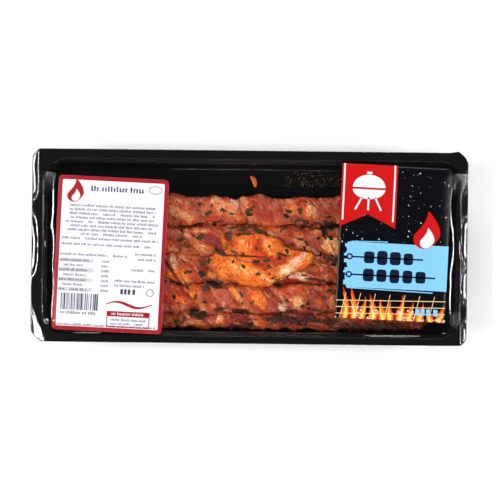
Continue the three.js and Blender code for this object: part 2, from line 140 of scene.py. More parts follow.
def smooth(t):
    """A soft step from 0 to 1."""
    s = np.clip(t, 0.0, 1.0)
    return s * s * (3 - 2 * s)


def depth_in(value, low, high):
    """How far a value is inside a span, from the nearer of its ends."""
    return np.minimum(value - low, high - value)


def turned(x, y, angle):
    """Plan coordinates in a frame turned by an angle: along it, and to its left."""
    cos, sin = math.cos(angle), math.sin(angle)
    return x * cos + y * sin, y * cos - x * sin


def random_source(seed):
    """Repeatable random numbers from 0 to 1, the same as in the solids."""
    state = seed
    while True:
        state = (state * 16807) % 2147483647
        yield state / 2147483647


def lattice(ix, iy, iz, seed):
    """Repeatable values from -1 to 1 at whole-numbered points."""
    with np.errstate(over="ignore"):
        h = (ix * 73856093) ^ (iy * 19349663) ^ (iz * 83492791) ^ (seed * 2654435761)
        h = ((h ^ (h >> 13)) * 1274126177) & 0x7FFFFFFF
        h = ((h ^ (h >> 15)) * 668265263) & 0x7FFFFFFF
    return ((h >> 8) & 0xFFFF) / 32767.5 - 1


def noise(x, y, z, seed=0):
    """Smooth noise from -1 to 1 with features about one unit wide, another one for each seed."""
    x, y, z = np.broadcast_arrays(np.asarray(x, float), np.asarray(y, float), np.asarray(z, float))
    whole = [np.floor(v).astype(np.int64) for v in (x, y, z)]
    part = [smooth(v - w) for v, w in zip((x, y, z), whole)]
    total = np.zeros(x.shape)
    for corner in itertools.product((0, 1), repeat=3):
        weight = np.ones(x.shape)
        for t, c in zip(part, corner):
            weight = weight * (t if c else 1 - t)
        total += weight * lattice(*[w + c for w, c in zip(whole, corner)], seed)
    return total


def noise_at(points, size, seed):
    """Noise at points in space, with features of a size in millimetres."""
    return noise(*(np.moveaxis(points, -1, 0) / size), seed)


def blend_towards(colour, other, share):
    """Colour of each point moved towards another colour by a share of each point."""
    share = share[..., None]
    return colour * (1 - share) + np.asarray(other) * share


# ---- Meshes ----


def add_mesh(name, points, faces, material, slot, replaces=(), smooth_shade=True):
    """A new piece from points in millimetres. It rides on the pack's one body."""
    mesh = bpy.data.meshes.new(name)
    mesh.from_pydata((np.asarray(points, float) * MM).tolist(), [], faces)
    if smooth_shade:
        mesh.shade_smooth()
    mesh.materials.append(material)
    piece = bpy.data.objects.new(name, mesh)
    bpy.context.scene.collection.objects.link(piece)
    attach(piece, "root")
    for node in replaces:
        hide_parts(node)
    return piece


def paint(piece, name, values):
    """Stores a colour at each point of the mesh."""
    layer = piece.data.color_attributes.new(name, "FLOAT_COLOR", "POINT")
    rgba = np.ones((len(piece.data.vertices), 4), np.float32)
    rgba[:, :3] = np.clip(values, 0, 1)
    layer.data.foreach_set("color", rgba.ravel())


def skin_faces(rings, sides):
    """Faces of a skin through rings with the same number of points, and a fan over each end."""
    faces = []
    for r in range(rings - 1):
        a = r * sides
        b = a + sides
        for i in range(sides):
            j = (i + 1) % sides
            faces.append((a + i, b + i, b + j, a + j))
    first_middle = rings * sides
    last = (rings - 1) * sides
    for i in range(sides):
        j = (i + 1) % sides
        faces.append((first_middle, i, j))
        faces.append((first_middle + 1, last + j, last + i))
    return faces


def with_ends(rings):
    """Values on a skin's rings as one list, and then the mean of each end ring."""
    rings = np.asarray(rings, float)
    ends = np.stack([rings[0].mean(0), rings[-1].mean(0)])
    return np.concatenate([rings.reshape(-1, 3), ends])


def add_skin(name, rings, material, slot, replaces=(), colours=None):
    """A closed skin through rings, painted where its points have colours."""
    rings = np.asarray(rings)
    faces = skin_faces(*rings.shape[:2])
    piece = add_mesh(name, with_ends(rings), faces, material, slot, replaces)
    if colours is not None:
        paint(piece, "meat", with_ends(colours))
    return piece


def join_parts(parts):
    """Points and faces of many small meshes as one: parts are pairs of points and faces."""
    points, faces, start = [], [], 0
    for part_points, part_faces in parts:
        points.append(np.asarray(part_points, float))
        faces += [tuple(start + i for i in face) for face in part_faces]
        start += len(part_points)
    return np.concatenate(points), faces


# ---- Outlines of the tray ----

# Points along a corner, and along a long and a short side.
CORNER_STEPS = 14
LONG_STEPS = 70
SHORT_STEPS = 34


def corner_arc(corner, x, y, quarter):
    """Points of a corner of some size: a straight cut at roundness 0, a quarter circle at 1."""
    size, roundness = corner
    middle = np.array([x - math.copysign(size, x), y - math.copysign(size, y)])
    t = np.arange(CORNER_STEPS + 1) / CORNER_STEPS
    angle = (quarter + t) * math.pi / 2
    arc = middle + size * np.column_stack([np.cos(angle), np.sin(angle)])
    cut = arc[0] * (1 - t)[:, None] + arc[-1] * t[:, None]
    return list(cut * (1 - roundness) + arc * roundness)


def frame_loop(box, corners):
    """A rectangle with cut or rounded corners, anticlockwise seen from above."""
    places = [("right", "back"), ("left", "back"), ("left", "front"), ("right", "front")]
    arcs = [
        corner_arc(corners[q], box[side], box[end], q) for q, (side, end) in enumerate(places)
    ]
    loop = []
    for q, arc in enumerate(arcs):
        steps = SHORT_STEPS if q % 2 else LONG_STEPS
        start, stop = arc[-1], arcs[(q + 1) % 4][0]
        loop += arc
        loop += [start + (stop - start) * k / steps for k in range(1, steps)]
    return np.array(loop)


def inset_well(inset, smallest=4.0):
    """The outline of the well's rim, moved inwards."""
    signs = {"left": 1, "right": -1, "front": 1, "back": -1}
    sides = {side: WELL[side] + sign * inset for side, sign in signs.items()}
    return frame_loop(sides, [(max(smallest, size - inset * 0.7), 1) for size in WELL_CORNERS])


def flange_loop():
    """The flange's outline, with the ear that a finger peels at its back right corner."""
    loop = frame_loop(FLANGE, FLANGE_CORNERS)
    x, y = loop.T
    ear = PEEL_EAR["height"] * np.exp(-(((x - PEEL_EAR["x"]) / PEEL_EAR["reach"]) ** 2))
    loop[:, 1] += np.where(y > PEEL_EAR["behind"], ear, 0)
    return loop


def flange_loops():
    """Loops from the well's rim out to the edge of the flange."""
    outer = flange_loop()
    rim = inset_well(-RIM_RADIUS)
    return [rim * (1 - t) + outer * t for t in np.linspace(0, 1, 13)]


# Where the right end of the flange is bent down most: the middle and half length of each fold.
RIGHT_FOLDS = [(45, 3.5), (6, 13), (-25, 10), (-60, 8)]


def curl_at(x, y):
    """How far the flange is bent down at a point: uneven curls at both ends, and a folded corner."""
    from_end = depth_in(x, FLANGE["left"], FLANGE["right"])
    end = np.maximum(0, 1 - from_end / END_CURL["reach"])
    past_fold = turned(x - CORNER_FOLD["x"], y - CORNER_FOLD["y"], CORNER_FOLD["turn"])[0]
    uneven = (0.6 + 0.6 * noise(np.sign(x) * 5, y / 13, 0, 61)) * smooth((y + 50) / 6)
    folded = np.max([smooth(2.5 - 2 * abs(y - at) / reach) for at, reach in RIGHT_FOLDS], axis=0)
    uneven = np.where(x > 0, 0.2 + 0.8 * folded, uneven) + 0.08 * noise(x / 3, y / 5, 0, 62)
    curl = END_CURL["drop"] * end**2 * np.clip(uneven, 0.1, 1)
    return curl + CORNER_FOLD["slope"] * np.maximum(0, past_fold)


def inside_well(x, y):
    """How far a point is inside the rim of the well."""
    x, y = np.asarray(x, float), np.asarray(y, float)
    from_x = depth_in(x, WELL["left"], WELL["right"])
    from_y = depth_in(y, WELL["front"], WELL["back"])
    right = x > (WELL["left"] + WELL["right"]) / 2
    back = y > (WELL["front"] + WELL["back"]) / 2
    back_right, back_left, front_left, front_right = WELL_CORNERS
    at_back = np.where(right, back_right, back_left)
    radius = np.where(back, at_back, np.where(right, front_right, front_left))
    in_corner = (from_x < radius) & (from_y < radius)
    rounded = radius - np.hypot(radius - from_x, radius - from_y)
    return np.where(in_corner, rounded, np.minimum(from_x, from_y))


def film_under(x, y):
    """Height of the film's underside without its ripples: a ramp inside the rim, then level."""
    across = np.clip(inside_well(x, y) / FILM_RAMP, 0, 1)
    rise = FILM_RISE * (1 - (1 - across) ** 2)
    return FLANGE_TOP - curl_at(x, y) + CLEARANCE + rise


def film_ripple(x, y):
    """Waves of the film near the rim, arcs round its corners, and a buckle at the left."""
    depth = inside_well(x, y)
    near = np.exp(-(((depth - 3.2) / 3.0) ** 2)) * smooth(depth / 2)
    from_end = depth_in(x, WELL["left"], WELL["right"])
    from_side = depth_in(y, WELL["front"], WELL["back"])
    corner = np.exp(-np.maximum(0, np.hypot(from_end, from_side) - 11) / 5)
    wave = 0.7 * noise(x / 15, y / 15, 3.0, 11) + 0.16 * noise(x / 6, y / 6, 7.0, 12)
    arcs = np.sin(depth * 2 * math.pi / 3.1 + 1.2) * smooth(depth / 1.5) * smooth((10 - depth) / 4)
    arcs = arcs * np.where((x < 0) & (y < 0), 0.2, 1)  # a label lies over that corner
    flange = 0.05 * noise(x / 6, y / 6, 1.0, 13) * smooth(-depth / 1.5)
    buckle = 0.5 * np.exp(-(((x + 132.5) / 4.0) ** 2) - (((y + 17) / 9.0) ** 2))
    return 0.4 * near * wave * (1 - corner) + 0.1 * corner * arcs + flange + buckle


def lift(loop, height):
    """A loop in plan with a height, which is a number or one for each point."""
    return np.column_stack([loop, np.broadcast_to(height, len(loop))])


# ---- Materials ----


class Look:
    """A material whose nodes are added and joined through short methods."""

    def __init__(self, name, values=()):
        self.material = bpy.data.materials.new(name)
        self.material.use_nodes = True
        self.tree = self.material.node_tree
        self.shader = self.tree.nodes["Principled BSDF"]
        self.fill(self.shader, values)

    def fill(self, node, values):
        """Gives inputs of a node, named or numbered, their values or the sockets that feed them."""
        for key, value in dict(values).items():
            if isinstance(value, bpy.types.NodeSocket):
                self.tree.links.new(value, node.inputs[key])
            else:
                node.inputs[key].default_value = value

    def add(self, kind, values=(), output=0, **settings):
        """The output of a new node."""
        node = self.tree.nodes.new("ShaderNode" + kind)
        for key, value in settings.items():
            setattr(node, key, value)
        self.fill(node, values)
        return node.outputs[output]

    def texture(self, kind, scale, stretch=(1, 1, 1), **values):
        """A texture in object coordinates. scale is features per metre."""
        place = self.add("TexCoord", output="Object")
        mapped = self.add("Mapping", {"Vector": place, "Scale": stretch})
        return self.add("Tex" + kind, {"Vector": mapped, "Scale": scale, **values})

    def painted(self, layer):
        """The colour that is stored at the mesh's points."""
        return self.add("Attribute", attribute_name=layer)

    def ramp(self, value, stops):
        """A colour ramp on a value: stops are pairs of a place and a grey or a colour."""
        output = self.add("ValToRGB", {"Fac": value})
        elements = output.node.color_ramp.elements
        while len(elements) < len(stops):
            elements.new(0.5)
        for element, (place, colour) in zip(elements, stops):
            element.position = place
            element.color = (*colour, 1) if isinstance(colour, tuple) else (colour,) * 3 + (1,)
        return output

    def mix(self, first, second, share=1.0, blend="MULTIPLY"):
        """Two colours multiplied or blended by a share."""
        values = {0: share, 6: first, 7: second}
        return self.add("Mix", values, output=2, data_type="RGBA", blend_type=blend)

    def bump(self, height, distance, strength=1.0):
        """Normals of a relief whose full height is a distance in metres."""
        return self.add("Bump", {"Height": height, "Distance": distance, "Strength": strength})

    def finish(self, **values):
        """Sets the shader's last inputs, where an underscore stands for a space."""
        self.fill(self.shader, {key.replace("_", " "): value for key, value in values.items()})
        return self.material


def tray_material():
    """Black formed plastic: a slight orange peel, and duller where it was drawn thin."""
    look = Look("tray_plastic", {"Base Color": (0.005, 0.0048, 0.0052, 1), "IOR": 1.4})
    scuffs = look.texture("Noise", 60, (1, 1, 3), Detail=5.0)
    peel = look.texture("Noise", 900, Detail=2.0)
    dull = look.ramp(scuffs, [(0.35, 0.07), (0.75, 0.15)])
    return look.finish(Roughness=dull, Normal=look.bump(peel, 0.00006, 0.5))


def film_material():
    """Clear film: see-through, with a gloss that grows towards grazing angles on both faces."""
    look = Look("film_clear")
    look.tree.nodes.remove(look.shader)
    facing = look.add("LayerWeight", {"Blend": 0.5}, "Facing")
    grazing = look.add("Math", {0: facing, 1: 5.0}, operation="POWER")
    share = look.add("Math", {0: grazing, 1: 0.8, 2: 0.022}, operation="MULTIPLY_ADD")
    clear = look.add("BsdfTransparent", {"Color": (0.995, 0.995, 1, 1)})
    crinkle = look.bump(look.texture("Noise", 70, Detail=3.0), 0.0001, 0.12)
    gloss = look.add("BsdfGlossy", {"Roughness": 0.03, "Normal": crinkle})
    surface = look.add("MixShader", {0: share, 1: clear, 2: gloss})
    look.fill(look.tree.nodes["Material Output"], {"Surface": surface})
    return look.material


def paper_material(name, colour, roughness=0.3, mottle=0.94):
    """Coated label paper or ink on it: a faint mottle in its tone, and a fine tooth."""
    look = Look(name, {"Roughness": roughness, "IOR": 1.3})
    blotch = look.texture("Noise", 260, Detail=4.0)
    tooth = look.texture("Noise", 2600, Detail=2.0)
    tinted = look.mix((*colour, 1), look.ramp(blotch, [(0.3, mottle), (0.7, 1.0)]))
    return look.finish(Base_Color=tinted, Normal=look.bump(tooth, 0.00003, 0.3))


def meat_material(name):
    """Wet marinated meat: its painted colour, with grain, red spice and a glossy coat."""
    look = Look(name, {
        "IOR": 1.33, "Specular IOR Level": 0.2,
        "Coat Weight": 0.5, "Coat Roughness": 0.12, "Coat IOR": 1.33,
        "Subsurface Weight": 0.12, "Subsurface Radius": (0.002, 0.0007, 0.0004),
        "Subsurface Scale": 1.0,
    })
    grain = look.texture("Noise", 800, Detail=6.0, Roughness=0.68)
    spice = look.texture("Voronoi", 560, Randomness=1.0)
    patch = look.texture("Noise", 130, Detail=2.0)
    fibres = look.ramp(grain, [(0.28, (0.78, 0.45, 0.32)), (0.5, 1.0), (0.74, (1.18, 2.0, 2.9))])
    colour = look.mix(look.painted("meat"), fibres)
    specks = look.ramp(spice, [(0.08, 1.0), (0.2, 0.0)])
    spiced = look.mix(specks, look.ramp(patch, [(0.52, 0.0), (0.66, 0.4)]))
    colour = look.mix(colour, (0.62, 0.09, 0.015, 1), spiced, "MIX")
    wet = look.ramp(patch, [(0.3, 0.36), (0.7, 0.6)])
    return look.finish(Base_Color=colour, Roughness=wet, Normal=look.bump(grain, 0.0005, 0.6))


def herb_material():
    """Chopped chive: dark wet green with paler fibres along it."""
    look = Look("herb_green", {"Roughness": 0.45, "IOR": 1.25})
    fibre = look.texture("Noise", 1500, Detail=3.0)
    colour = look.mix(look.painted("leaf"), look.ramp(fibre, [(0.3, 0.6), (0.7, 1.4)]))
    return look.finish(Base_Color=colour, Normal=look.bump(fibre, 0.0001, 0.5))


def marinade_material():
    """Thin drops of oily paprika marinade."""
    look = Look("marinade_oil", {"Roughness": 0.15, "IOR": 1.45})
    cloud = look.texture("Noise", 400, Detail=3.0)
    colour = look.ramp(cloud, [(0.3, (0.03, 0.014, 0.008)), (0.7, (0.12, 0.05, 0.02))])
    return look.finish(Base_Color=colour, Normal=look.bump(cloud, 0.0001, 0.4))


# ---- Tray and film ----


def floor_bend(inset, z, radius):
    """A quarter circle of the tray's section, from the floor up into the wall."""
    steps = []
    for k in range(7):
        angle = (1 - k / 6) * math.pi / 2
        steps.append((inset + radius * (1 - math.cos(angle)), z + radius * (1 - math.sin(angle))))
    return steps


def make_tray():
    """Formed black plastic: a well with a rib round its floor, a shoulder and a flange."""
    # Insets from the well's rim and heights, from the middle of the floor out and up.
    inside = [(60, 0.8), (27, 0.8), (25.6, 0.85), (24.4, 1.3), (23.6, 1.75), (23, 1.8)]
    inside += [(19.6, 1.8), (18.6, 1.75), (17.6, 1.3), (16.6, 0.85), (15.6, 0.8)]
    inside += floor_bend(3.2, WALL, 4.0)
    inside += [(2.9, 12), (2.6, 18), (2.3, 22.6), (2.1, 22.95), (1.7, 23.05), (0.9, 23.1)]
    inside += [(0.6, 23.3), (0.45, 23.7), (0.2, 25.6), (0.05, 26.3), (-0.2, 26.75)]
    # And on the outside, back down to the middle of the underside.
    outside = [(-0.9, 26.1), (-0.8, 25.6), (-0.35, 23.5), (-0.2, 22.9), (0.1, 22.5)]
    outside += [(1.0, 22.3), (1.3, 22.1), (1.5, 21.7), (1.8, 18), (2.1, 12)]
    outside += floor_bend(2.4, 0.0, 4.8)[::-1]
    outside += [(17.4, 0.0), (18.0, 0.1), (18.6, 0.6), (19.2, 0.95), (19.8, 1.0)]
    outside += [(22.4, 1.0), (23, 0.95), (23.6, 0.6), (24.2, 0.1), (24.8, 0.0), (60, 0.0)]
    rings = [lift(inset_well(inset), z) for inset, z in inside]
    flange = flange_loops()
    rings += [lift(loop, FLANGE_TOP - curl_at(*loop.T)) for loop in flange]
    rings += [lift(loop, FLANGE_TOP - WALL - curl_at(*loop.T)) for loop in flange[::-1]]
    rings += [lift(inset_well(inset), z) for inset, z in outside]
    add_skin("tray_shell", rings, tray_material(), "tray_black", ["tray"])


def make_film():
    """Thin clear film, sealed to the flange and blown up a little over the well."""
    insets = [60, 45, 30, 22, 18, 16, 14.5, 13, 12, 11, 10, 9, 8, *np.arange(7.5, 0, -0.36), 0]
    loops = [inset_well(inset, 5) for inset in insets] + flange_loops()
    under = [lift(loop, film_under(*loop.T) + film_ripple(*loop.T)) for loop in loops]
    top = [ring + (0, 0, FILM_THICKNESS) for ring in under]
    add_skin("film_lid", top + under[::-1], film_material(), "film_clear", ["film"])


# ---- Pork ----

# Kinds of meat: colour, and how far the surface swells out in millimetres.
MEAT_KINDS = {
    "white": ((0.62, 0.33, 0.21), 0.5),
    "cream": ((0.79, 0.38, 0.15), 0.6),
    "pale": ((0.62, 0.22, 0.086), 0.4),
    "gold": ((0.76, 0.24, 0.039), 0.5),
    "bright": ((0.72, 0.15, 0.014), 0.4),
    "orange": ((0.50, 0.095, 0.019), 0.3),
    "pink": ((0.41, 0.086, 0.043), 0.1),
    "lean": ((0.31, 0.047, 0.022), 0.0),
    "red": ((0.41, 0.034, 0.005), 0.1),
    "purple": ((0.21, 0.026, 0.019), -0.2),
    # The next kind is no meat but painted shade, for gaps, creases and low places.
    "dark": ((0.043, 0.015, 0.012), -0.8),
    "brown": ((0.17, 0.028, 0.006), -0.2),
    "scarlet": ((0.62, 0.060, 0.006), 0.2),
    # The next kind is pale fat painted brighter than it is, as painted light where the meat lies in
    # shade.
    "lit_pale": ((0.90, 0.46, 0.28), 0.6),
    "herb": ((0.060, 0.026, 0.007), 0.0),
}
# How far the meat on both sides of a lane's edge bulges over it: little where the rolls part.
PRESSED = [-0.1, 0.8, 1.0, 0.9, 1.6, 0.2]
GRAIN_TURN = math.radians(-52)  # the strips lie this way across the crest of a roll
CREASE_TURN = math.radians(-40)  # and the creases of the fold this way
# Painted shade, darkening the seams of a strip and the rolls' low sides between them.
CREVICE_SHADE_COLOUR = (0.06, 0.016, 0.01)  # in the seams of a strip and low between the rolls
# Painted shade in the hollows of the fold.
HOLLOW_SHADE_COLOUR = (0.28, 0.045, 0.015)  # between the swellings of the fold

# Bands of fat along a strip: a kind, its middle and half width as shares of the strip's width,
# and how strongly it shows.
STRIP_BANDS = [
    ("pale", 0.1, 0.09, 0.6), ("orange", 0.24, 0.1, 0.5), ("red", 0.5, 0.1, 0.5),
    ("pale", 0.66, 0.04, 0.5), ("orange", 0.86, 0.12, 0.5),
]

# Patches of the meat that shows between the labels: a kind, its place, its half length and half width,
# and its turn in degrees. Later ones lie over earlier ones.
ROLL_FIELDS = [
    # First roll, at the back.
    ("pink", -35, 25, 12, 9, 0), ("orange", -46, 21.5, 11, 4.8, -38), ("pale", -45, 21.5, 8.5, 3, -38),
    ("pale", -49, 31.5, 3.6, 1.4, -25), ("pale", -52, 23, 5, 3.4, -50),
    ("pink", -52, 16.5, 4.5, 2, -10), ("red", -26, 18.5, 7, 2.6, 0), ("orange", -20, 28, 9, 6, -60),
    # The white streak at -11, 30 is a painted highlight.
    ("pale", -21, 29.5, 6.5, 3.8, -60), ("pale", -13, 26, 7, 2.6, -70), ("white", -11, 30, 5, 2.1, -68),
    ("purple", -6.8, 27, 7, 0.9, -80), ("pale", -3, 29.5, 5.5, 2.4, -75),
    ("orange", -9, 19.5, 5, 2.2, 0), ("lean", 14, 27, 11, 7.5, 0), ("pink", 16, 28, 5, 2.4, 10),
    ("orange", 29.5, 27, 6.5, 3.4, -60), ("pale", 26, 32, 3.6, 1.3, 0), ("purple", 31, 20, 7, 1.8, -10),
    ("orange", 41, 25.5, 7, 5.4, -70), ("pale", 41.4, 25.5, 5.2, 3.6, -70),
    ("cream", 41, 25.3, 3.8, 2.6, -70), ("lean", 53, 27, 6.5, 7.5, 0), ("pink", 52, 27, 3, 4, 10),
    ("pink", 53, 32.5, 2, 0.8, -40), ("orange", -29, 17.8, 3, 1.4, 10),
    # Second roll.
    ("pink", -47, 7.5, 10, 3.8, -25), ("pale", -46, 8.4, 6, 1.3, -25),
    ("orange", -34, 10.8, 9, 2.2, -2), ("pale", -34.5, 10.6, 5.6, 1.4, -2),
    ("purple", -25.5, 3.6, 8.5, 4, -18), ("orange", -17, 6, 8, 3.2, -65),
    ("bright", -17.5, 2, 5, 1.6, -70), ("brown", -15, 6.6, 3.4, 2.2, -60),
    ("dark", -38.5, 7.5, 5.5, 0.5, -42), ("orange", 12, 14, 8.5, 2.8, -10), ("lean", 26, 9, 8, 5, 0),
    ("orange", 20, 11, 5, 2, -20), ("orange", 34, 8.6, 4.2, 2.4, -10), ("cream", 36, 7.2, 1.6, 0.9, 0),
    ("orange", 35, 15.2, 4, 1.6, 0), ("orange", 46, 11, 5, 3.4, 0), ("pale", 46.5, 11, 3.6, 1.6, 20),
    ("orange", 30, 4.4, 4, 1.3, -35), ("purple", 27, -1, 5, 3, 0), ("pale", 36, 1.6, 7, 3, -30),
    ("lean", 46, 2.5, 6, 3.4, -20), ("pink", -37, -6, 9, 2.2, -12), ("orange", -34, -1.6, 12, 4, -18),
    ("pale", -32, -2, 8, 2.6, -22), ("purple", -38, -8.8, 9, 1.5, -8),
    ("cream", 56.8, 0.6, 8, 5.4, -55), ("gold", 58.5, -2, 4, 1.4, -55),
    ("white", 45, -3, 3.2, 1.5, -50), ("dark", 57, -8, 6.5, 3, -15), ("pale", 48, -5.6, 4, 2.4, -30),
    ("dark", 53, 14.8, 9, 3.2, 0), ("dark", 52, 9, 3.2, 1.8, 70),
    # Third roll, to both sides of the fold.
    ("orange", -54, -1, 5, 5, 0), ("orange", -44, -19, 12, 4.6, -38),
    # The brightest pale fields below are painted light, where the roll lies in shade at its back and
    # beside the fold.
    ("lit_pale", -51.5, -12.5, 6.5, 2.4, -72), ("pale", -48, -6, 7, 3, -30), ("orange", -39, -7, 8, 3, -20),
    ("bright", -46.5, -18, 5.5, 3.2, -50), ("bright", -52, -21, 5, 3, -40),
    ("gold", -43.5, -23, 4.5, 1.6, -35), ("pink", -33.5, -15.5, 6, 3, -45),
    ("lean", -30, -19, 6, 3, -50), ("gold", -26.5, -20, 3.4, 2.8, -40), ("cream", 31.5, -19, 10, 3, -3),
    ("lit_pale", 34, -20.4, 9, 2.2, -3), ("lean", 47, -15.4, 13, 3.4, -8), ("orange", 43, -14, 8, 2.2, -6),
    # The thin cream line at 51.5, -12.2 is a painted highlight along the upper edge of the lean meat
    # below it.
    ("pale", 46, -10.8, 2.2, 0.9, -20), ("cream", 51.5, -12.2, 3.4, 0.4, -25),
    ("orange", 50, -22, 5, 1.5, -15),
    # Fourth roll.
    ("red", -50, -34, 9, 8, 0), ("bright", -47, -37, 4.5, 2.4, -30),
    ("orange", -36.5, -32, 6.5, 4.2, -70), ("bright", -38, -33.5, 4.5, 2.2, -75),
    ("lean", -26, -35, 6, 5, -30), ("pale", -24.5, -41, 3, 1.5, -30), ("pink", -17.5, -34, 6.5, 5.2, 0),
    ("gold", -9.2, -33, 7.5, 2.4, -57), ("bright", -12, -29, 3, 2, -50),
    ("orange", 2, -33, 9, 3.2, -62), ("bright", 7, -36, 8.5, 4, -55), ("gold", 6, -37, 5, 1.8, -55),
    ("lean", 16.5, -36, 9, 4.2, -65), ("pale", 12.8, -33, 3.4, 0.5, -50), ("red", 28, -29, 8, 4.6, 0),
    ("orange", 34, -28.4, 9, 3, -5), ("pink", 31, -31, 6, 2.4, -30), ("orange", 40, -36, 4.5, 3.4, -60),
    ("pale", 23, -35.5, 3.6, 0.9, -62), ("pale", 33.5, -37.5, 5.5, 4.4, 0),
    ("cream", 33.5, -38, 3.6, 2.8, 0), ("white", 23.4, -41.6, 3.4, 3, 0),
    ("pink", 28.4, -40, 2.6, 2, 0), ("lean", 47, -35, 9, 8, 0), ("orange", 50, -38, 5, 2, -25),
    ("orange", 56, -29, 4.5, 3, 0), ("orange", -51, -43, 4, 2.4, 0), ("pale", 56.5, -36, 3.6, 2, 80),
    ("pale", -5, -42, 2.6, 1.2, 0),
    # Fifth roll. Its dark fields are painted shade, where it lies low.
    ("purple", 35, -49.5, 25, 5, 0), ("dark", 21, -49.5, 9, 4.6, -5), ("purple", -5, -50, 9, 3.6, -10),
    ("dark", -5, -56, 10, 3.4, 0), ("dark", 46, -51, 18, 4.4, 0), ("pale", -39, -53, 9, 2.4, -5),
    ("orange", -51, -51, 6, 4, 0), ("bright", -56, -54, 4, 1.8, -20), ("pink", -27, -52, 4, 2, 20),
    ("orange", -20, -50.5, 5.4, 4.6, 70), ("cream", -20, -49.5, 3.8, 2.4, 70),
    ("orange", 8.5, -51, 7, 1.8, -48), ("pink", 30, -46.6, 5, 1.2, -10),
    ("orange", 50, -48, 5, 1.4, -15), ("lean", 45, -53, 9, 2, -5), ("dark", 90, -55, 34, 5, 0),
    # Painted shade in the gaps between the rolls, and herbs caught in them.
    ("dark", -44, 12.8, 6, 1.1, -3), ("dark", -33, 14.6, 7, 1, 2), ("dark", -22, 15.6, 4.2, 1.5, 10),
    ("dark", 36, 17.4, 8, 1.2, -8), ("dark", -24.5, -26, 6.5, 2.4, -20),
    ("dark", -50, -25.4, 10, 0.9, -22), ("dark", -29.5, -28.5, 3, 2.4, 0),
    ("dark", -37.5, -45.5, 3, 4.6, 0), ("dark", -31.5, -47.5, 5.5, 2.8, 0),
    ("dark", -20, -43.6, 6.5, 1.5, 8), ("dark", -5, -44.6, 8, 1.9, -5), ("dark", 29, -44.4, 4, 1.4, 0),
    ("dark", 45, -43, 9, 1.2, -12), ("dark", 53, -24, 8, 1.4, -8), ("dark", 44, -22, 5, 1.2, -5),
    ("herb", -13.4, 9.5, 2.6, 3.6, 0), ("herb", -3, 12.4, 7, 2.2, 0), ("herb", 6, 10.6, 5.5, 1.6, -30),
    ("herb", -7, 7.6, 1.8, 2, 0), ("herb", -33.5, 6, 3, 1.8, 0), ("herb", -20, -4.6, 3.4, 2, 0),
    ("herb", 20, -27, 3, 2, 0), ("herb", 37, 14.6, 4, 1.6, 60), ("herb", 58, -30, 3, 2, 0),
]
# The same kind of patches on the fold, which the first one covers wholly.
FLAP_FIELDS = [
    ("bright", 8, -9, 60, 60, 0),
    # The dome, with fat to both sides.
    ("orange", -8, 0, 6.5, 6.5, 0), ("gold", -6.5, 0.5, 4.5, 5, 0), ("scarlet", -11, 1.6, 3.4, 2.4, 20),
    ("scarlet", -9.4, -1.4, 1.9, 1.4, 0), ("red", -6, -5.4, 4, 1.2, -10),
    ("cream", -5, 3.4, 2.2, 1.1, 20), ("scarlet", 4.4, -0.4, 8.2, 6, 86), ("red", 7, 1.5, 5, 2.8, 84),
    ("gold", 1, 0.6, 5, 0.9, 86), ("cream", -1.7, 1.3, 4.4, 0.7, 86), ("herb", -6, 8.4, 9, 2, 6),
    ("gold", 13.6, -0.6, 6.4, 3, -62), ("cream", 12.6, -1, 4.6, 1, -62),
    ("bright", 18.6, -3.8, 3.6, 1.8, -50),
    # The red lean meat between the lobes, with painted shade in the creases.
    ("scarlet", 9, -7.4, 8, 1.8, -8), ("red", 10, -5.2, 3, 1.6, -20), ("red", 17.5, -9.8, 11, 4, 6),
    ("dark", -1, -6.6, 16, 0.8, -3), ("dark", -17, -5.4, 4.6, 1.2, -28),
    ("dark", 24, -5.4, 5, 0.9, -12), ("red", 9, -12.6, 8.5, 2.6, -22), ("orange", 16, -15, 6, 2.6, -30),
    ("brown", 4, -9.2, 5, 0.8, -14), ("brown", 14, -18, 5, 0.7, -34),
    # The lobe on the left, and its pale tail.
    ("orange", -20, -13, 8, 6, 0), ("bright", -18, -17, 7, 4.5, -42),
    ("gold", -12, -14.2, 6.5, 4.6, -15), ("gold", -5, -15.6, 8.5, 4.8, -32),
    ("orange", -24, -17, 3, 4, -20), ("cream", -9, -13, 4.8, 1.5, -22),
    ("cream", -2.4, -16.8, 4.4, 1.6, -40), ("gold", 3.4, -18.8, 7, 2.6, -34),
    ("scarlet", -20.6, -12, 2.4, 1, 30), ("herb", -18.5, -4.6, 4.4, 1.7, -32),
    ("orange", -13.4, -20.6, 6.5, 0.8, -46), ("orange", -8, -19.8, 6, 0.8, -40),
    ("bright", 0, -21.4, 8, 1.4, -14), ("brown", 18, -20.5, 6, 0.8, 26),
    ("pale", 9.6, -20.8, 8, 1.7, -34), ("cream", 13, -22.8, 5, 1.5, -26),
    # The pale arm on the right, and its tip.
    ("pale", 24, -18.2, 7, 2.8, 0), ("cream", 27.5, -14, 8, 3.4, 38), ("lit_pale", 31, -10.6, 9, 2.6, 38),
    ("white", 36, -6.4, 3.4, 1.9, 50), ("scarlet", 37, -12.6, 4.5, 1, 35),
    ("gold", 41, -5, 4.6, 2.4, 70), ("orange", 43.6, -9, 3, 1.3, 80),
]


def strip_colours(across, points, seed):
    """Colour and swelling of a strip, with bands of fat along it that come and go."""
    ragged = 0.08 * noise_at(points, 4, seed) + 0.05 * noise_at(points, 1.4, seed + 1)
    colour = np.zeros(points.shape) + MEAT_KINDS["lean"][0]
    swell = np.zeros(across.shape)
    for number, (kind, middle, half_width, strength) in enumerate(STRIP_BANDS):
        off = (across - middle + ragged + 0.5) % 1 - 0.5
        here = strength * smooth(0.9 + 1.3 * noise_at(points, 13, seed + 2 + number))
        share = smooth(1.5 - abs(off) / half_width) * here
        colour = blend_towards(colour, MEAT_KINDS[kind][0], share)
        swell = swell * (1 - share) + MEAT_KINDS[kind][1] * share
    return colour, swell


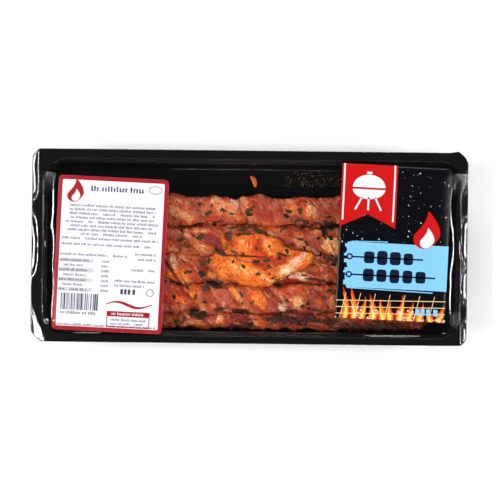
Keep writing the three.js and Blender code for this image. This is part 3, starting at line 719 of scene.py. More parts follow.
def add_fields(fields, points, colour, swell, seed):
    """Lays the fields over the colour and swelling of points, with ragged fibrous edges."""
    x, y = points[..., 0], points[..., 1]
    spotty = 0.22 * noise_at(points, 2.6, seed) + 0.2 * noise_at(points, 1.0, seed + 1)
    for number, (kind, place_x, place_y, length, width, turn) in enumerate(fields):
        near = (abs(x - place_x) < length * 1.6 + 4) & (abs(y - place_y) < length * 1.6 + 4)
        if not near.any():
            continue
        along, aside = turned(x[near] - place_x, y[near] - place_y, math.radians(turn))
        fibres = 0.34 * noise(along / 3.2, aside / 0.9, number, seed + 2) + spotty[near]
        inside = 1.15 - np.hypot(along / length, aside / width) + fibres
        edge = 0.35 + 0.5 / max(1.0, min(length, width))
        share = smooth(inside / edge) * 0.92
        field_colour, field_swell = MEAT_KINDS[kind]
        colour[near] = blend_towards(colour[near], field_colour, share)
        swell[near] = swell[near] * (1 - share) + field_swell * share
    return colour, swell


def lane_edge(index, x):
    """Where a lane's edge lies across the tray."""
    y, wave, phase = LANE_EDGES[index]
    angle = 2 * math.pi * x / LANE_WAVE_LENGTH
    even = y + wave * (0.65 * np.sin(angle + phase) + 0.35 * np.sin(angle * 0.57 + 2 * phase))
    return even + 0.7 * noise(x / 5, index, 0.0, 41) + 0.35 * noise(x / 2, index, 0.0, 42)


def pressed(index, x):
    """How far the rolls bulge over a lane's edge."""
    return np.maximum(-0.2, PRESSED[index] + 0.55 * noise(x / 9, index, 0.0, 43))


def crest_at(index, x):
    """The height of a roll along its length. The two under the fold are pressed down there."""
    height = ROLLS[index]["height"] + 0.5 * np.sin(x / 17 + index * 2.3)
    if index not in (1, 2):
        return height
    share = smooth(depth_in(x, FLAP_DIP["from"], FLAP_DIP["to"]) / FLAP_DIP["blend"] + 0.5)
    return height * (1 - share) + (FLAP_DIP["top"] - 0.6) * share


def winding_relief(index, turn, angle):
    """Relief of a wound strip, 1 at its highest."""
    across = turn - np.floor(turn)
    fall = LEDGE * np.where(across < 0.03, 1 - smooth(across / 0.03), across**1.4)
    crown = CROWN * (1 - np.sin(math.pi * across))
    lump = np.sin(turn * 5.3 + index * 1.7) * np.cos(angle * 2 + turn * 2.9 + index)
    return 1 - fall - crown - LUMPS * (0.5 + 0.5 * lump)


def roll_surface(index, turn, angle, wander=0.0):
    """Points of a roll's skin. Angle 0 is the back of the roll and a quarter turn is its top."""
    roll = ROLLS[index]
    along = roll["seam"] + turn * roll["pitch"]
    from_end = depth_in(along, roll["start"], roll["end"])
    slant = SLANT * smooth(from_end / 24)
    x = np.clip(along - slant * np.cos(angle) / 2, roll["start"], roll["end"])
    back = lane_edge(index, x) - LANE_GAP / 2 + pressed(index, x)
    front = lane_edge(index + 1, x) + LANE_GAP / 2 - pressed(index + 1, x)
    closing = 1 - np.clip(from_end / END_ROUND, 0, 1)
    openness = np.maximum(0.3, np.sqrt(1 - closing**2))
    half_width = (back - front) / 2 * openness
    top = ROLL_BASE + (crest_at(index, x) - ROLL_BASE) * (0.35 + 0.65 * openness)
    middle = ROLL_BASE + (top - ROLL_BASE) * ROLL_MIDDLE
    up = np.sin(angle)
    relief = winding_relief(index, turn + wander, angle)
    above = middle + (top - middle) * np.abs(up) ** 0.66 * relief
    below = middle - (middle - ROLL_BASE) * np.abs(up) ** 0.6
    z = np.where(up > 0, above, below)
    return np.stack([x, (back + front) / 2 + half_width * np.cos(angle), z], axis=-1)


def grid_normals(points):
    """Unit normals of a skin's rings, which run along X and go round through the back."""
    along = np.gradient(points, axis=0)
    around = np.roll(points, -1, 1) - np.roll(points, 1, 1)
    normals = np.cross(along, around)
    return normals / np.maximum(np.linalg.norm(normals, axis=-1, keepdims=True), 1e-9)


def streaks(points, length, width, seed):
    """Noise drawn out along the strips, seen in plan."""
    along, aside = turned(points[..., 0], points[..., 1], GRAIN_TURN)
    return noise(along / length, aside / width, points[..., 2] / 4, seed)


def meat_relief(points, swell, seed):
    """How far the skin stands out from the smooth form, in millimetres."""
    broad = 0.45 * noise_at(points, 5, seed) + 0.3 * noise_at(points, 2.2, seed + 1)
    ridges = 0.4 * streaks(points, 9, 2.4, seed + 2) + 0.16 * streaks(points, 4, 0.9, seed + 4)
    fine = 0.15 * noise_at(points, 0.9, seed + 3)
    return swell + broad + ridges + fine - 0.4


def shade(colour, tone):
    """Colour made paler or deeper: fat is paler than lean meat most of all in green and blue."""
    return colour * np.maximum(tone, 0.1)[..., None] ** (0.65, 1.5, 2.1)


def stain(colour, points, seed):
    """Marbling, orange and red marinade, and uneven tone."""
    vein = smooth(1 - np.abs(streaks(points, 7, 3, seed + 5)) / 0.08) * 0.3
    colour = blend_towards(colour, colour * (1.5, 2.1, 2.0), vein)
    oil = 0.3 + 1.2 * noise_at(points, 3.2, seed + 4) + 0.6 * noise_at(points, 1.3, seed + 12)
    colour = colour * blend_towards(np.ones_like(colour), (1.0, 0.72, 0.45), 0.55 * smooth(oil))
    red = 1.4 * noise_at(points, 4, seed + 6) + 0.8 * streaks(points, 4, 1.2, seed + 13) - 0.45
    reddened = colour * (1.15, 0.6, 0.4) + (0.05, 0.002, 0)
    colour = blend_towards(colour, reddened, 0.6 * smooth(red))
    light = 1.3 * streaks(points, 5, 1.6, seed + 14) + 0.8 * noise_at(points, 1.2, seed + 15) - 0.55
    lightened = colour * (1.25, 1.8, 2.1) + (0.02, 0.01, 0.008)
    colour = blend_towards(colour, lightened, 0.65 * smooth(light))
    grains = 2.2 * noise_at(points, 1.2, seed + 17) + 1.4 * noise_at(points, 0.6, seed + 18) - 0.4
    colour = blend_towards(colour, colour * (0.97, 0.55, 0.4), 0.65 * smooth(grains))
    tone = 1.04 + 0.2 * noise_at(points, 2.4, seed + 7) + 0.2 * noise_at(points, 0.8, seed + 8)
    return shade(colour, tone + 0.14 * streaks(points, 3, 0.7, seed + 16))


def roll_grid(roll):
    """Turns along a roll and angles round it, finest where it shows between the labels."""
    shown, fine, coarse = 64, 0.45, 1.1
    places = np.concatenate([
        np.arange(roll["start"], -shown, coarse),
        np.arange(-shown, shown, fine),
        np.arange(shown, roll["end"], coarse),
        [roll["end"]],
    ])
    turns = (places - roll["seam"]) / roll["pitch"]
    top_angles = np.linspace(math.pi + 0.15, -0.15, 96)
    under_angles = np.linspace(-0.15, 0.15 - math.pi, 24)[1:-1]
    return np.meshgrid(turns, np.concatenate([top_angles, under_angles]), indexing="ij")


def make_roll(index, material):
    """A wound strip: its skin swollen and ridged by kind of meat, and painted."""
    roll = ROLLS[index]
    turn, angle = roll_grid(roll)
    wander = 0.05 * noise(turn * 3.5, angle * 1.5, 0.0, 20 + index)
    wander += 0.02 * noise(turn * 14, angle * 5, 0.0, 30 + index)
    points = roll_surface(index, turn, angle, wander)
    along = roll["seam"] + turn * roll["pitch"]
    seed = 100 + 20 * index
    across = turn + wander - np.floor(turn + wander)
    colour, swell = strip_colours(across, points, seed + 9)
    colour, swell = add_fields(ROLL_FIELDS, points, colour, swell, seed + 11)
    upper = smooth((np.sin(angle) + 0.25) / 0.5)
    from_end = depth_in(along, roll["start"], roll["end"])
    out = meat_relief(points, swell, seed) * upper * smooth(from_end / 6)
    points = points + grid_normals(points) * out[..., None]
    fibre = noise(along / 0.8, angle * 2.2, 0.0, seed + 2)
    colour = shade(stain(colour, points, seed), 1 + 0.16 * fibre)
    # Painted shade: darker in the seams between windings, and low on the rolls' sides between the
    # rolls.
    seam = smooth(across / 0.04) * smooth((1.02 - across) / 0.05)
    valley = smooth((np.sin(angle) + 0.05) / 0.5)
    lit = (0.6 + 0.4 * valley) * (0.8 + 0.2 * seam)
    colour = blend_towards(colour, CREVICE_SHADE_COLOUR, 1 - lit)
    node = f"pork_roll_{index + 1}"
    return add_skin(f"pork_strip_{index + 1}", points, material, "pork", [node], colour)


def catmull_loop(corners, count):
    """Points evenly spaced along a smooth closed curve through the corners."""
    p1 = np.array(corners, float)
    p0, p2, p3 = np.roll(p1, 1, 0), np.roll(p1, -1, 0), np.roll(p1, -2, 0)
    t = np.linspace(0, 1, 24, endpoint=False)[:, None, None]
    curve = 0.5 * (
        2 * p1 + (p2 - p0) * t + (2 * p0 - 5 * p1 + 4 * p2 - p3) * t**2
        + (3 * p1 - p0 - 3 * p2 + p3) * t**3
    )
    curve = curve.transpose(1, 0, 2).reshape(-1, 2)
    curve = np.concatenate([curve, curve[:1]])
    lengths = np.concatenate([[0], np.cumsum(np.linalg.norm(np.diff(curve, axis=0), axis=1))])
    at = np.linspace(0, lengths[-1], count, endpoint=False)
    return np.column_stack([np.interp(at, lengths, curve[:, axis]) for axis in (0, 1)])


def flap_top(x, y):
    """Height of the fold's top: the highest of its swellings."""
    best = np.full(np.shape(x), 1.2)
    for start, end, radius, height in FLAP_SWELLINGS:
        dx, dy = end[0] - start[0], end[1] - start[1]
        t = np.clip(((x - start[0]) * dx + (y - start[1]) * dy) / (dx * dx + dy * dy), 0, 1)
        near = np.hypot(x - start[0] - t * dx, y - start[1] - t * dy) / radius
        best = np.maximum(best, height * np.sqrt(np.maximum(0, 1 - near**2)))
    return FLAP_BASE + FLAP_RIM + best


def flap_hollows(x, y):
    """How deep the fold's top dips at points against the places round them."""
    turns = np.linspace(0, 2 * math.pi, 8, endpoint=False)
    around = [flap_top(x + 1.8 * math.cos(turn), y + 1.8 * math.sin(turn)) for turn in turns]
    return np.mean(around, axis=0) - flap_top(x, y)


def make_flap(material):
    """The folded end of a strip: rings from its middle out to its edge and in underneath."""
    sides, rings = 260, 74
    outline = catmull_loop(FLAP_OUTLINE, sides)
    middle = np.array(FLAP_MIDDLE, float)
    reach = np.linalg.norm(outline - middle, axis=1)
    shares = np.linspace(0.01, 1, rings) ** 0.85
    plan = middle + (outline - middle) * shares[:, None, None]
    height = flap_top(plan[..., 0], plan[..., 1])
    rim = FLAP_BASE + FLAP_RIM
    from_edge = (1 - shares)[:, None] * reach
    height = rim + (height - rim) * np.sqrt(np.clip(from_edge / 1.6, 0, 1))
    top = np.concatenate([plan, height[..., None]], axis=-1)
    edge = np.concatenate([outline, np.full((sides, 1), FLAP_BASE)], axis=-1)
    inner = np.concatenate([middle + (outline - middle) * 0.9, edge[:, 2:] + 0.2], axis=-1)
    points = np.concatenate([top, edge[None], inner[None]])
    colour = np.zeros_like(points)
    colour, swell = add_fields(FLAP_FIELDS, points, colour, np.zeros(points.shape[:2]), 301)
    out = meat_relief(points, swell, 310)
    along, aside = turned(points[..., 0], points[..., 1], CREASE_TURN)
    broad, fine = noise(along / 9, aside / 1.9, 0.0, 341), noise(along / 5, aside / 0.8, 0.0, 342)
    out += 0.6 * broad + 0.3 * fine
    out[:rings] *= np.clip(from_edge / 2.5, 0.15, 1)
    out[rings:] = 0
    fringe = 1.3 * noise_at(points, 4.2, 320) + 0.7 * noise_at(points, 1.4, 321)
    fringe *= 1 + 0.7 * smooth((-6 - points[..., 0]) / 8)
    near_edge = np.append(smooth((shares - 0.8) / 0.2), [1, 1])
    outward = (outline - middle) / reach[:, None]
    points[..., :2] += outward * (fringe * near_edge[:, None])[..., None]
    points[..., 2] += out
    colour = stain(colour, points, 330)
    # Painted shade in the hollows between the fold's swellings.
    hollow_shade = smooth(flap_hollows(plan[..., 0], plan[..., 1]) / 0.9)
    hollow_shade = np.concatenate([hollow_shade, np.ones((2, sides))])
    colour = blend_towards(colour, HOLLOW_SHADE_COLOUR, 0.75 * hollow_shade)
    return add_skin("pork_fold", points, material, "pork_fat", ["pork_flap"], colour)


def make_scrap(material):
    """A crumb of fat that came loose and lies on the floor behind the rolls."""
    turns = np.linspace(0, -2 * math.pi, 28)[:-1]
    t, angle = np.meshgrid(np.linspace(0, 1, 30), turns, indexing="ij")
    size = 0.35 + 0.65 * np.sin(math.pi * (0.08 + 0.84 * t))
    x = (t - 0.5) * SCRAP["length"]
    y = np.cos(angle) * size * SCRAP["width"] / 2 + 0.6 * np.sin(4 * t)
    z = (1 + np.sin(angle) * size) * SCRAP["height"] / 2
    x, y = turned(x, y, -math.radians(SCRAP["turn"]))
    points = np.stack([SCRAP["x"] + x, SCRAP["y"] + y, WALL + CLEARANCE + z], axis=-1)
    points[..., 2] += 0.25 * noise_at(points, 1.5, 350) * np.maximum(0, np.sin(angle))
    colour = np.broadcast_to(MEAT_KINDS["bright"][0], points.shape)
    colour = stain(colour, points, 360)
    add_skin("pork_crumb", points, material, "pork_fat", ["pork_scrap"], colour)


# ---- Chives and marinade ----

# Chives that show through the film: place in plan, turn in degrees, length, width, and how pale.
CHIVES = [
    (-34.5, 28.5, -20, 3.2, 2.8, 0.5), (-26, 27.8, -40, 1.7, 1.2, 0.2),
    (-28.4, 22.6, 35, 5.2, 2.8, 0.6), (-12.4, 22.2, -8, 4.2, 1.5, 0.7), (-21.5, 29, 10, 1.3, 0.8, 0.4),
    (-0.6, 22.6, -18, 5.6, 3.6, 0.1), (0.2, 25.2, -14, 4.2, 1.3, 0.1), (2.4, 27.2, 30, 3.2, 1.8, 0.6),
    (26.4, 24.2, -8, 4.8, 2.4, 0.3), (25.4, 20.4, 70, 3, 2, 0.2), (33.8, 24.4, -68, 4.6, 1.8, 0.4),
    (31.8, 18.2, 62, 5, 2.2, 0.7), (37.6, 31.2, -15, 3, 1.6, 0.3), (43, 29, -50, 3.6, 0.8, 0.2),
    (42.2, 15.4, -75, 4.4, 2.4, 0.4), (50.4, 10, -75, 5.4, 2.6, 0.2), (47.2, 6.4, 20, 2.6, 1.8, 0.1),
    (54, 21, -5, 4, 1.6, 0.5), (22.6, 11.6, 52, 5, 2, 0.8), (16.8, 6.4, 30, 3.4, 1.8, 0.6),
    (35, 5, -20, 4.2, 1.5, 0.3), (39, 2.6, -55, 4.4, 1.6, 0.4), (37.6, -0.6, -60, 3.4, 1.3, 0.2),
    (25.6, -3, -70, 4, 2.6, 0.3), (19, -4.4, 26, 5, 3.2, 0.5), (4.2, -10, -6, 5.4, 2.2, 0.15),
    (11.8, -9.2, 8, 5.6, 2.2, 0.5), (14, -19, 24, 4.2, 1.8, 0.2), (18.9, -22.6, 48, 4.8, 2.8, 0.9),
    (26.2, -20, 72, 3.2, 1.7, 0.4), (37.6, -19.4, -2, 4.6, 1.1, 0.0), (-10.4, -3.8, -22, 5.4, 1.9, 0.9),
    (-11.2, -11, 66, 4.2, 1.4, 0.2), (-9.6, -6.6, -60, 2.6, 1.4, 0.6),
    (-19.4, -5.6, -25, 5.8, 3.2, 0.3), (-22.8, -2, -60, 3.2, 1.8, 0.3), (-27, -9.6, 80, 5.8, 4, 0.5),
    (-33, -12.4, 12, 4.6, 2.8, 0.9), (-32.8, -19.2, -32, 5, 4, 0.1), (-45.4, -10.4, -38, 4.2, 0.9, 0.1),
    (-40.6, -17.8, 0, 3, 1.3, 0.0), (-47, 4, 8, 4.8, 2, 0.5), (-42.8, 0.2, -18, 5, 2.4, 0.8),
    (-33, 7, 50, 4, 2.2, 0.6), (-35, 5.4, -20, 3.4, 1.6, 0.4), (-51.8, -35, -20, 3.8, 3, 0.0),
    (-36.4, -34.8, 82, 4.6, 2, 0.7), (-5.4, -32.6, -62, 4.6, 1.4, 0.6), (-4.4, -38.6, 50, 2.6, 1, 0.4),
    (-42, -29, -62, 5, 1.8, 0.3), (-28.6, -28, 72, 5, 2.6, 0.3), (-23.6, -26, 14, 5, 2, 0.2),
    (-19, -25, 30, 3.4, 1.8, 0.1), (40, -38.6, 20, 3, 2.2, 0.2), (52.6, -33.6, 78, 5.2, 2.8, 0.3),
    (54.4, -29.6, 30, 4, 2, 0.4), (43.4, -49.6, 10, 4, 1.8, 0.3), (-38, -43.4, 70, 5, 2.6, 0.2),
    (-36.2, -48.4, -14, 5.4, 2.6, 0.3), (-31.6, -45.8, 18, 4.6, 2.2, 0.3),
    (-48.6, -51.2, 30, 4.6, 2.8, 0.6), (-44.2, -50, 80, 4, 2, 0.8), (-54, -53.2, 0, 3.6, 1, 0.5),
    (-15.4, 9, 75, 4.6, 2.4, 0.6), (-12.4, 12, 30, 4.4, 2.6, 0.5), (-8, 14.2, 50, 4, 2, 0.4),
    (-5, 11.6, 10, 5, 2.6, 0.6), (0.4, 13.2, -10, 4.6, 2.2, 0.5), (5, 11.8, -36, 4.8, 2.2, 0.6),
    (-7.2, 7.6, 80, 3.2, 2, 0.4), (9.6, 9.2, -30, 4.6, 1.8, 0.7), (52, -7, 30, 4, 2.2, 0.2),
    (57, -9, -20, 4, 2, 0.3), (49, -4.6, 70, 3.4, 1.8, 0.2), (44.6, -22, 0, 4, 1.8, 0.3),
    (20, -26.8, 20, 3.6, 2.2, 0.2), (-9, -44.4, 0, 4.4, 2, 0.3), (-20, -43.6, 12, 4.6, 1.6, 0.2),
]
LEAF_DARK = np.array((0.010, 0.009, 0.003))
LEAF_PALE = np.array((0.080, 0.058, 0.010))
# Flecks: how many, and the box in plan that they are spread over.
FLECKS = {"count": 260, "left": -122, "right": 118, "front": -56, "back": 34}
# Drops on the floor: how many, and the middle and reach of the patch that they lie in.
DROPS = {"count": 320, "x": 42, "y": 45, "reach_x": 26, "reach_y": 11}


def leaf(length, width, seed):
    """A flake of chive as a thin curled plate lying flat, and its faces."""
    steps, sides, half_thick = 7, 12, 0.22
    angles = -2 * math.pi * np.arange(sides) / sides
    t, angle = np.meshgrid(np.linspace(-1, 1, steps), angles, indexing="ij")
    full = np.sqrt(1 - abs(t) ** 7) * 0.8 + 0.2
    across = np.copysign(abs(np.cos(angle)) ** 0.6, np.cos(angle))
    y = across * width / 2 * full * (1 + 0.12 * np.sin(5 * t + seed))
    z = np.sin(angle) * half_thick + 0.048 * length * t * t + 0.1 * across * across
    return with_ends(np.stack([t * length / 2, y, z], axis=-1)), skin_faces(steps, sides)


def place_on(tree, x, y, turn, points, sink=0.05):
    """Points laid on the meat under a place in plan and tilted with it, or None beside it."""
    above, down = Vector((x, y, 40)), Vector((0, 0, -1))
    hit, normal = tree.ray_cast(above, down)[:2]
    if hit is None:
        return None
    normal = (normal + Vector((0, 0, 0.6))).normalized()
    along = Vector((math.cos(turn), math.sin(turn), 0))
    along = (along - normal * along.dot(normal)).normalized()
    across = normal.cross(along)
    base = np.array(hit) - np.array(normal) * sink
    return base + points @ np.array([along, across, normal])


def flake_places():
    """Flakes of the solids, which are spread evenly along each roll, and round the fold."""
    for index, roll in enumerate(ROLLS):
        random = random_source(71 + index * 13)
        margin = 16
        reach = roll["end"] - roll["start"] - 2 * margin
        for k in range(CHIVE["per_roll"]):
            share = (k + next(random) * 0.8) / CHIVE["per_roll"]
            along = roll["start"] + margin + reach * share
            angle = math.pi * (0.36 + 0.28 * next(random))
            spin = next(random) * math.pi
            turn = np.array((along - roll["seam"]) / roll["pitch"])
            x, y = roll_surface(index, turn, np.array(angle))[:2]
            under_fold = FLAP_SIDES[0] < y < FLAP_SIDES[1]
            if not (under_fold and FLAP_DIP["from"] < x < FLAP_DIP["to"]):
                yield x, y, spin, 0.85 + 0.4 * next(random)
    outline = catmull_loop(FLAP_OUTLINE, 40)
    random = random_source(407)
    for k in range(CHIVE["on_flap"]):
        share = 0.35 + 0.35 * next(random)
        edge = outline[int(40 * (k + next(random) * 0.6) / CHIVE["on_flap"])]
        x, y = np.array(FLAP_MIDDLE) * (1 - share) + edge * share
        yield x, y, next(random) * math.pi, 0.9


def meat_tree(pieces):
    """The meat's surface in millimetres, to lay things on."""
    parts = []
    for piece in pieces:
        flat = np.empty(len(piece.data.vertices) * 3, np.float32)
        piece.data.vertices.foreach_get("co", flat)
        faces = [tuple(face.vertices) for face in piece.data.polygons]
        parts.append((flat.reshape(-1, 3) / MM, faces))
    points, faces = join_parts(parts)
    return BVHTree.FromPolygons(points.tolist(), faces)


def make_herbs(tree):
    """Chopped chives: the even ones, those that show, and flecks that cling here and there."""
    random = random_source(911)
    wanted = []
    for x, y, turn, size in flake_places():
        width = CHIVE["width"] * (0.9 + 0.6 * next(random))
        wanted.append((x, y, turn, CHIVE["length"] * size, width, next(random)))
    wanted += [(x, y, math.radians(turn), *shape) for x, y, turn, *shape in CHIVES]
    parts, tones = [], []
    for x, y, turn, length, width, tone in wanted:
        points, faces = leaf(length, width, next(random) * 6)
        placed = place_on(tree, x, y, turn, points)
        if placed is not None:
            parts.append((placed, faces))
            tones += [tone] * len(placed)
    width, depth = FLECKS["right"] - FLECKS["left"], FLECKS["back"] - FLECKS["front"]
    for k in range(FLECKS["count"]):
        x = FLECKS["left"] + width * (k + next(random)) / FLECKS["count"]
        y = FLECKS["front"] + depth * next(random)
        size = 0.25 + 0.75 * next(random) ** 2
        points, faces = leaf(0.5 + 1.1 * size, 0.35 + 0.45 * size, next(random) * 6)
        placed = place_on(tree, x, y, next(random) * math.pi, points * (1, 1, 0.6))
        tone = next(random) * 0.8
        if placed is not None and noise(x / 9, y / 9, 0, 77) > -0.35:
            parts.append((placed, faces))
            tones += [tone] * len(placed)
    points, faces = join_parts(parts)
    piece = add_mesh("chopped_chives", points, faces, herb_material(), "herb")
    tones = np.array(tones)[:, None]
    paint(piece, "leaf", LEAF_DARK * (1 - tones) + LEAF_PALE * tones)


def make_marinade():
    """Drops of marinade on the floor of the tray behind the rolls."""
    random = random_source(1213)
    turns = np.linspace(0, 2 * math.pi, 10, endpoint=False)
    parts = []
    for k in range(DROPS["count"]):
        x = DROPS["x"] + DROPS["reach_x"] * (next(random) + next(random) - 1)
        y = DROPS["y"] + DROPS["reach_y"] * (next(random) + next(random) - 1)
        size = 0.15 + 0.6 * next(random) ** 3
        edge = size * (1 + 0.25 * np.sin(2 * turns + k))
        rings = []
        for share, height in ((0.2, 1.0), (0.6, 0.8), (0.92, 0.35), (1, 0.0)):
            loop = np.column_stack([np.cos(turns), np.sin(turns)]) * (edge * share)[:, None]
            rings.append(lift(loop + (x, y), WALL + 0.02 + 0.3 * size * height))
        parts.append((with_ends(rings), skin_faces(len(rings), len(turns))))
    points, faces = join_parts(parts)
    add_mesh("marinade_drops", points, faces, marinade_material(), "marinade")


# ---- Labels ----

WHITE = (0.715, 0.705, 0.78)
RED = (0.48, 0.0065, 0.0062)
FRAME_RED = (0.31, 0.013, 0.018)
GREY = (0.05, 0.05, 0.06)
PALE_GREY = (0.52, 0.52, 0.57)
INK = (0.035, 0.035, 0.045)
NIGHT = (0.0025, 0.0028, 0.004)
SKY = (0.20, 0.50, 0.80)
NAVY = (0.004, 0.010, 0.026)
EMBER = (0.60, 0.05, 0.004)
FLAME = (0.90, 0.22, 0.012)
YELLOW = (1.0, 0.62, 0.13)
GLOW = (0.95, 0.55, 0.38)
# Each tongue of flame is drawn three times: broad and red, then narrower and paler. The print's
# name, ink and layer, and the shares of the tongue's height and width.
FLAME_INKS = [("embers", EMBER, 1, 1, 1), ("flames", FLAME, 1.5, 0.84, 0.66),
              ("hearts", YELLOW, 2, 0.6, 0.34)]

HALF_U, HALF_V = LABEL_SIZE[0] / 2, LABEL_SIZE[1] / 2
LABEL_CORNER = 2.6
LABEL_SLOTS = {"info": "label_white", "front": "label_dark"}
INK_STEP = 0.03  # from one layer of ink to the next


def on_label(label, uv, above=0.0):
    """Points on a label's face, from places on it: u to the right and v up, from its middle."""
    u, v = turned(*np.asarray(uv, float).T, -LABEL_TURN)
    x, y = LABEL_PLACES[label][0] + u, LABEL_PLACES[label][1] + v
    film_top = film_under(x, y) + film_ripple(x, y) + FILM_THICKNESS
    return np.column_stack([x, y, film_top + LABEL_GLUE + LABEL_THICKNESS + above])


def make_paper(label, colour, roughness):
    """A label's sheet of paper, which follows the film and has slightly rounded corners."""
    rows = np.linspace(-HALF_V, HALF_V, 70)
    around = np.concatenate([rows, rows[::-1]])  # over the face and back under it
    u, v = np.meshgrid(np.linspace(-HALF_U, HALF_U, 50), around, indexing="ij")
    beyond_u = np.maximum(abs(u) - (HALF_U - LABEL_CORNER), 0)
    beyond_v = np.maximum(abs(v) - (HALF_V - LABEL_CORNER), 0)
    pull = 1 - np.minimum(1, LABEL_CORNER / np.maximum(np.hypot(beyond_u, beyond_v), LABEL_CORNER))
    u -= np.sign(u) * beyond_u * pull
    v -= np.sign(v) * beyond_v * pull
    under = np.where(np.arange(len(around)) < len(rows), 0, -LABEL_THICKNESS) + 0 * u
    skin = on_label(label, np.column_stack([u.ravel(), v.ravel()]), under.ravel())
    paper = paper_material(f"{label}_paper_paper", colour, roughness)
    rings = skin.reshape(*u.shape, 3)
    add_skin(f"{label}_paper", rings, paper, LABEL_SLOTS[label], [f"{label}_label"])


def clipped(shape, axis, limit, side):
    """The part of a flat convex shape on one side of a line across an axis."""
    kept = []
    for p, q in zip(shape, shape[1:] + shape[:1]):
        p_in, q_in = side * (p[axis] - limit) >= 0, side * (q[axis] - limit) >= 0
        if p_in:
            kept.append(p)
        if p_in != q_in:
            t = (limit - p[axis]) / (q[axis] - p[axis])
            kept.append(tuple(a + (b - a) * t for a, b in zip(p, q)))
    return kept


def in_cells(shape, cell=3.0):
    """A convex shape cut into cells, so that each piece can follow the curve of the label."""
    pieces = [shape]
    for axis in (0, 1):
        cut = []
        for piece in pieces:
            low = min(p[axis] for p in piece)
            high = max(p[axis] for p in piece)
            lines = [k * cell for k in range(math.floor(low / cell) + 1, math.ceil(high / cell))]
            for start, stop in zip([-1e9, *lines], [*lines, 1e9]):
                part = clipped(clipped(piece, axis, start, 1), axis, stop, -1)
                if len(part) > 2:
                    cut.append(part)
        pieces = cut
    return pieces


def make_print(name, shapes, colour, layer, mottle=0.94):
    """Flat shapes of one ink on a label, as thin as ink. A higher layer lies over a lower one."""
    label = name.split("_")[0]
    margin = 0.02  # left bare at the label's edge
    points, faces = [], []
    for shape in shapes:
        triangles = tessellate_polygon([[Vector((*p, 0)) for p in shape]])
        for triangle in triangles:
            corners = [tuple(shape[i]) for i in triangle]
            area = sum(a[0] * b[1] - b[0] * a[1] for a, b in zip(corners, corners[1:] + corners[:1]))
            if abs(area) < 1e-6:
                continue
            corners = corners if area > 0 else corners[::-1]
            for axis, limit in ((0, HALF_U - margin), (1, HALF_V - margin)):
                for side in (1, -1):
                    corners = clipped(corners, axis, -side * limit, side)
            for piece in in_cells(corners) if len(corners) > 2 else []:
                faces.append(tuple(range(len(points), len(points) + len(piece))))
                points += piece
    ink = paper_material(f"{name}_ink", colour, mottle=mottle)
    points = on_label(label, points, INK_STEP * layer)
    add_mesh(name, points, faces, ink, LABEL_SLOTS[label], smooth_shade=False)


def box(left, right, low, high):
    """An upright rectangle."""
    return [(left, low), (right, low), (right, high), (left, high)]


def disc(u, v, radius, radius_v=None, sides=48, start=0.0, stop=360.0):
    """A disc or oval, or the part of one from one angle to another."""
    angles = np.radians(np.linspace(start, stop, sides + 1))
    if stop - start == 360:
        angles = angles[:-1]
    reach = radius if radius_v is None else radius_v
    return [(u + radius * math.cos(a), v + reach * math.sin(a)) for a in angles]


def band(outer, inner):
    """The short strips between two loops."""
    following = [*range(1, len(outer)), 0]
    return [[outer[i], outer[j], inner[j], inner[i]] for i, j in enumerate(following)]


def ring(u, v, radius, width, radius_v=None, sides=48):
    """An outlined disc or oval."""
    tall = radius if radius_v is None else radius_v
    return band(disc(u, v, radius, tall, sides), disc(u, v, radius - width, tall - width, sides))


def stroke(path, width):
    """A stroke along a path, with a width or a width at each of its points."""
    widths = np.broadcast_to(width, len(path))
    path = np.asarray(path, float)
    way = np.gradient(path, axis=0)
    way /= np.linalg.norm(way, axis=1, keepdims=True)
    side = np.column_stack([-way[:, 1], way[:, 0]]) * widths[:, None] / 2
    left, right = path + side, path - side
    return [
        [tuple(left[i]), tuple(right[i]), tuple(right[i + 1]), tuple(left[i + 1])]
        for i in range(len(path) - 1)
    ]


def round_box(half_u, half_v, corner):
    """A rounded rectangle round the middle of a label."""
    loop = []
    for quarter, (u, v) in enumerate([(1, 1), (-1, 1), (-1, -1), (1, -1)]):
        middle = u * (half_u - corner), v * (half_v - corner)
        loop += disc(*middle, corner, sides=8, start=90 * quarter, stop=90 * quarter + 90)
    return loop


def ticks(left, right, v, size, random, fill=0.92):
    """A line of print shown as upright strokes in word-like groups, which spell nothing."""
    shapes = []
    u = left
    while u < right:
        word = int(3 + 7 * next(random))
        for _ in range(word):
            if u > right:
                break
            tall = 1.35 if next(random) > 0.72 else 1.0
            shapes.append(box(u, u + size * 0.36, v, v + size * tall))
            if next(random) > 0.45:
                level = v + size * (0.1 if next(random) > 0.5 else 0.75)
                shapes.append(box(u, u + size * 0.55, level, level + size * 0.22))
            u += size * 0.72
        u += size * 0.6
        if next(random) > fill:
            u += size * 2
    return shapes


def flame_icon(u, v, size):
    """A plain flame: a drop with its tip bent to one side."""
    points = []
    for k in range(40):
        turn = k / 20 * math.pi
        rise = -math.cos(turn)
        tall = rise * (0.62 + 0.4 * max(0, rise))
        wide = math.sin(turn) * 0.56 * (1 - 0.7 * max(0, tall))
        points.append((u + size * (wide + 0.13 * math.sin(3 * tall)), v + size * tall))
    return points


def kettle_icon(u, v, size):
    """A round grill on three legs with its lid, in side view."""
    shapes = [disc(u, v + size * 0.1, size, size * 0.78, 32, 0, 180)]
    shapes += [disc(u, v, size, size * 0.62, 32, 180, 360)]
    shapes += stroke([(u - size * 0.16, v + size), (u + size * 0.16, v + size)], size * 0.14)
    for lean in (-0.8, 0, 0.8):
        foot = (u + lean * size, v - size * 1.3)
        shapes += stroke([(u + lean * size * 0.5, v - size * 0.5), foot], size * 0.11)
    return shapes


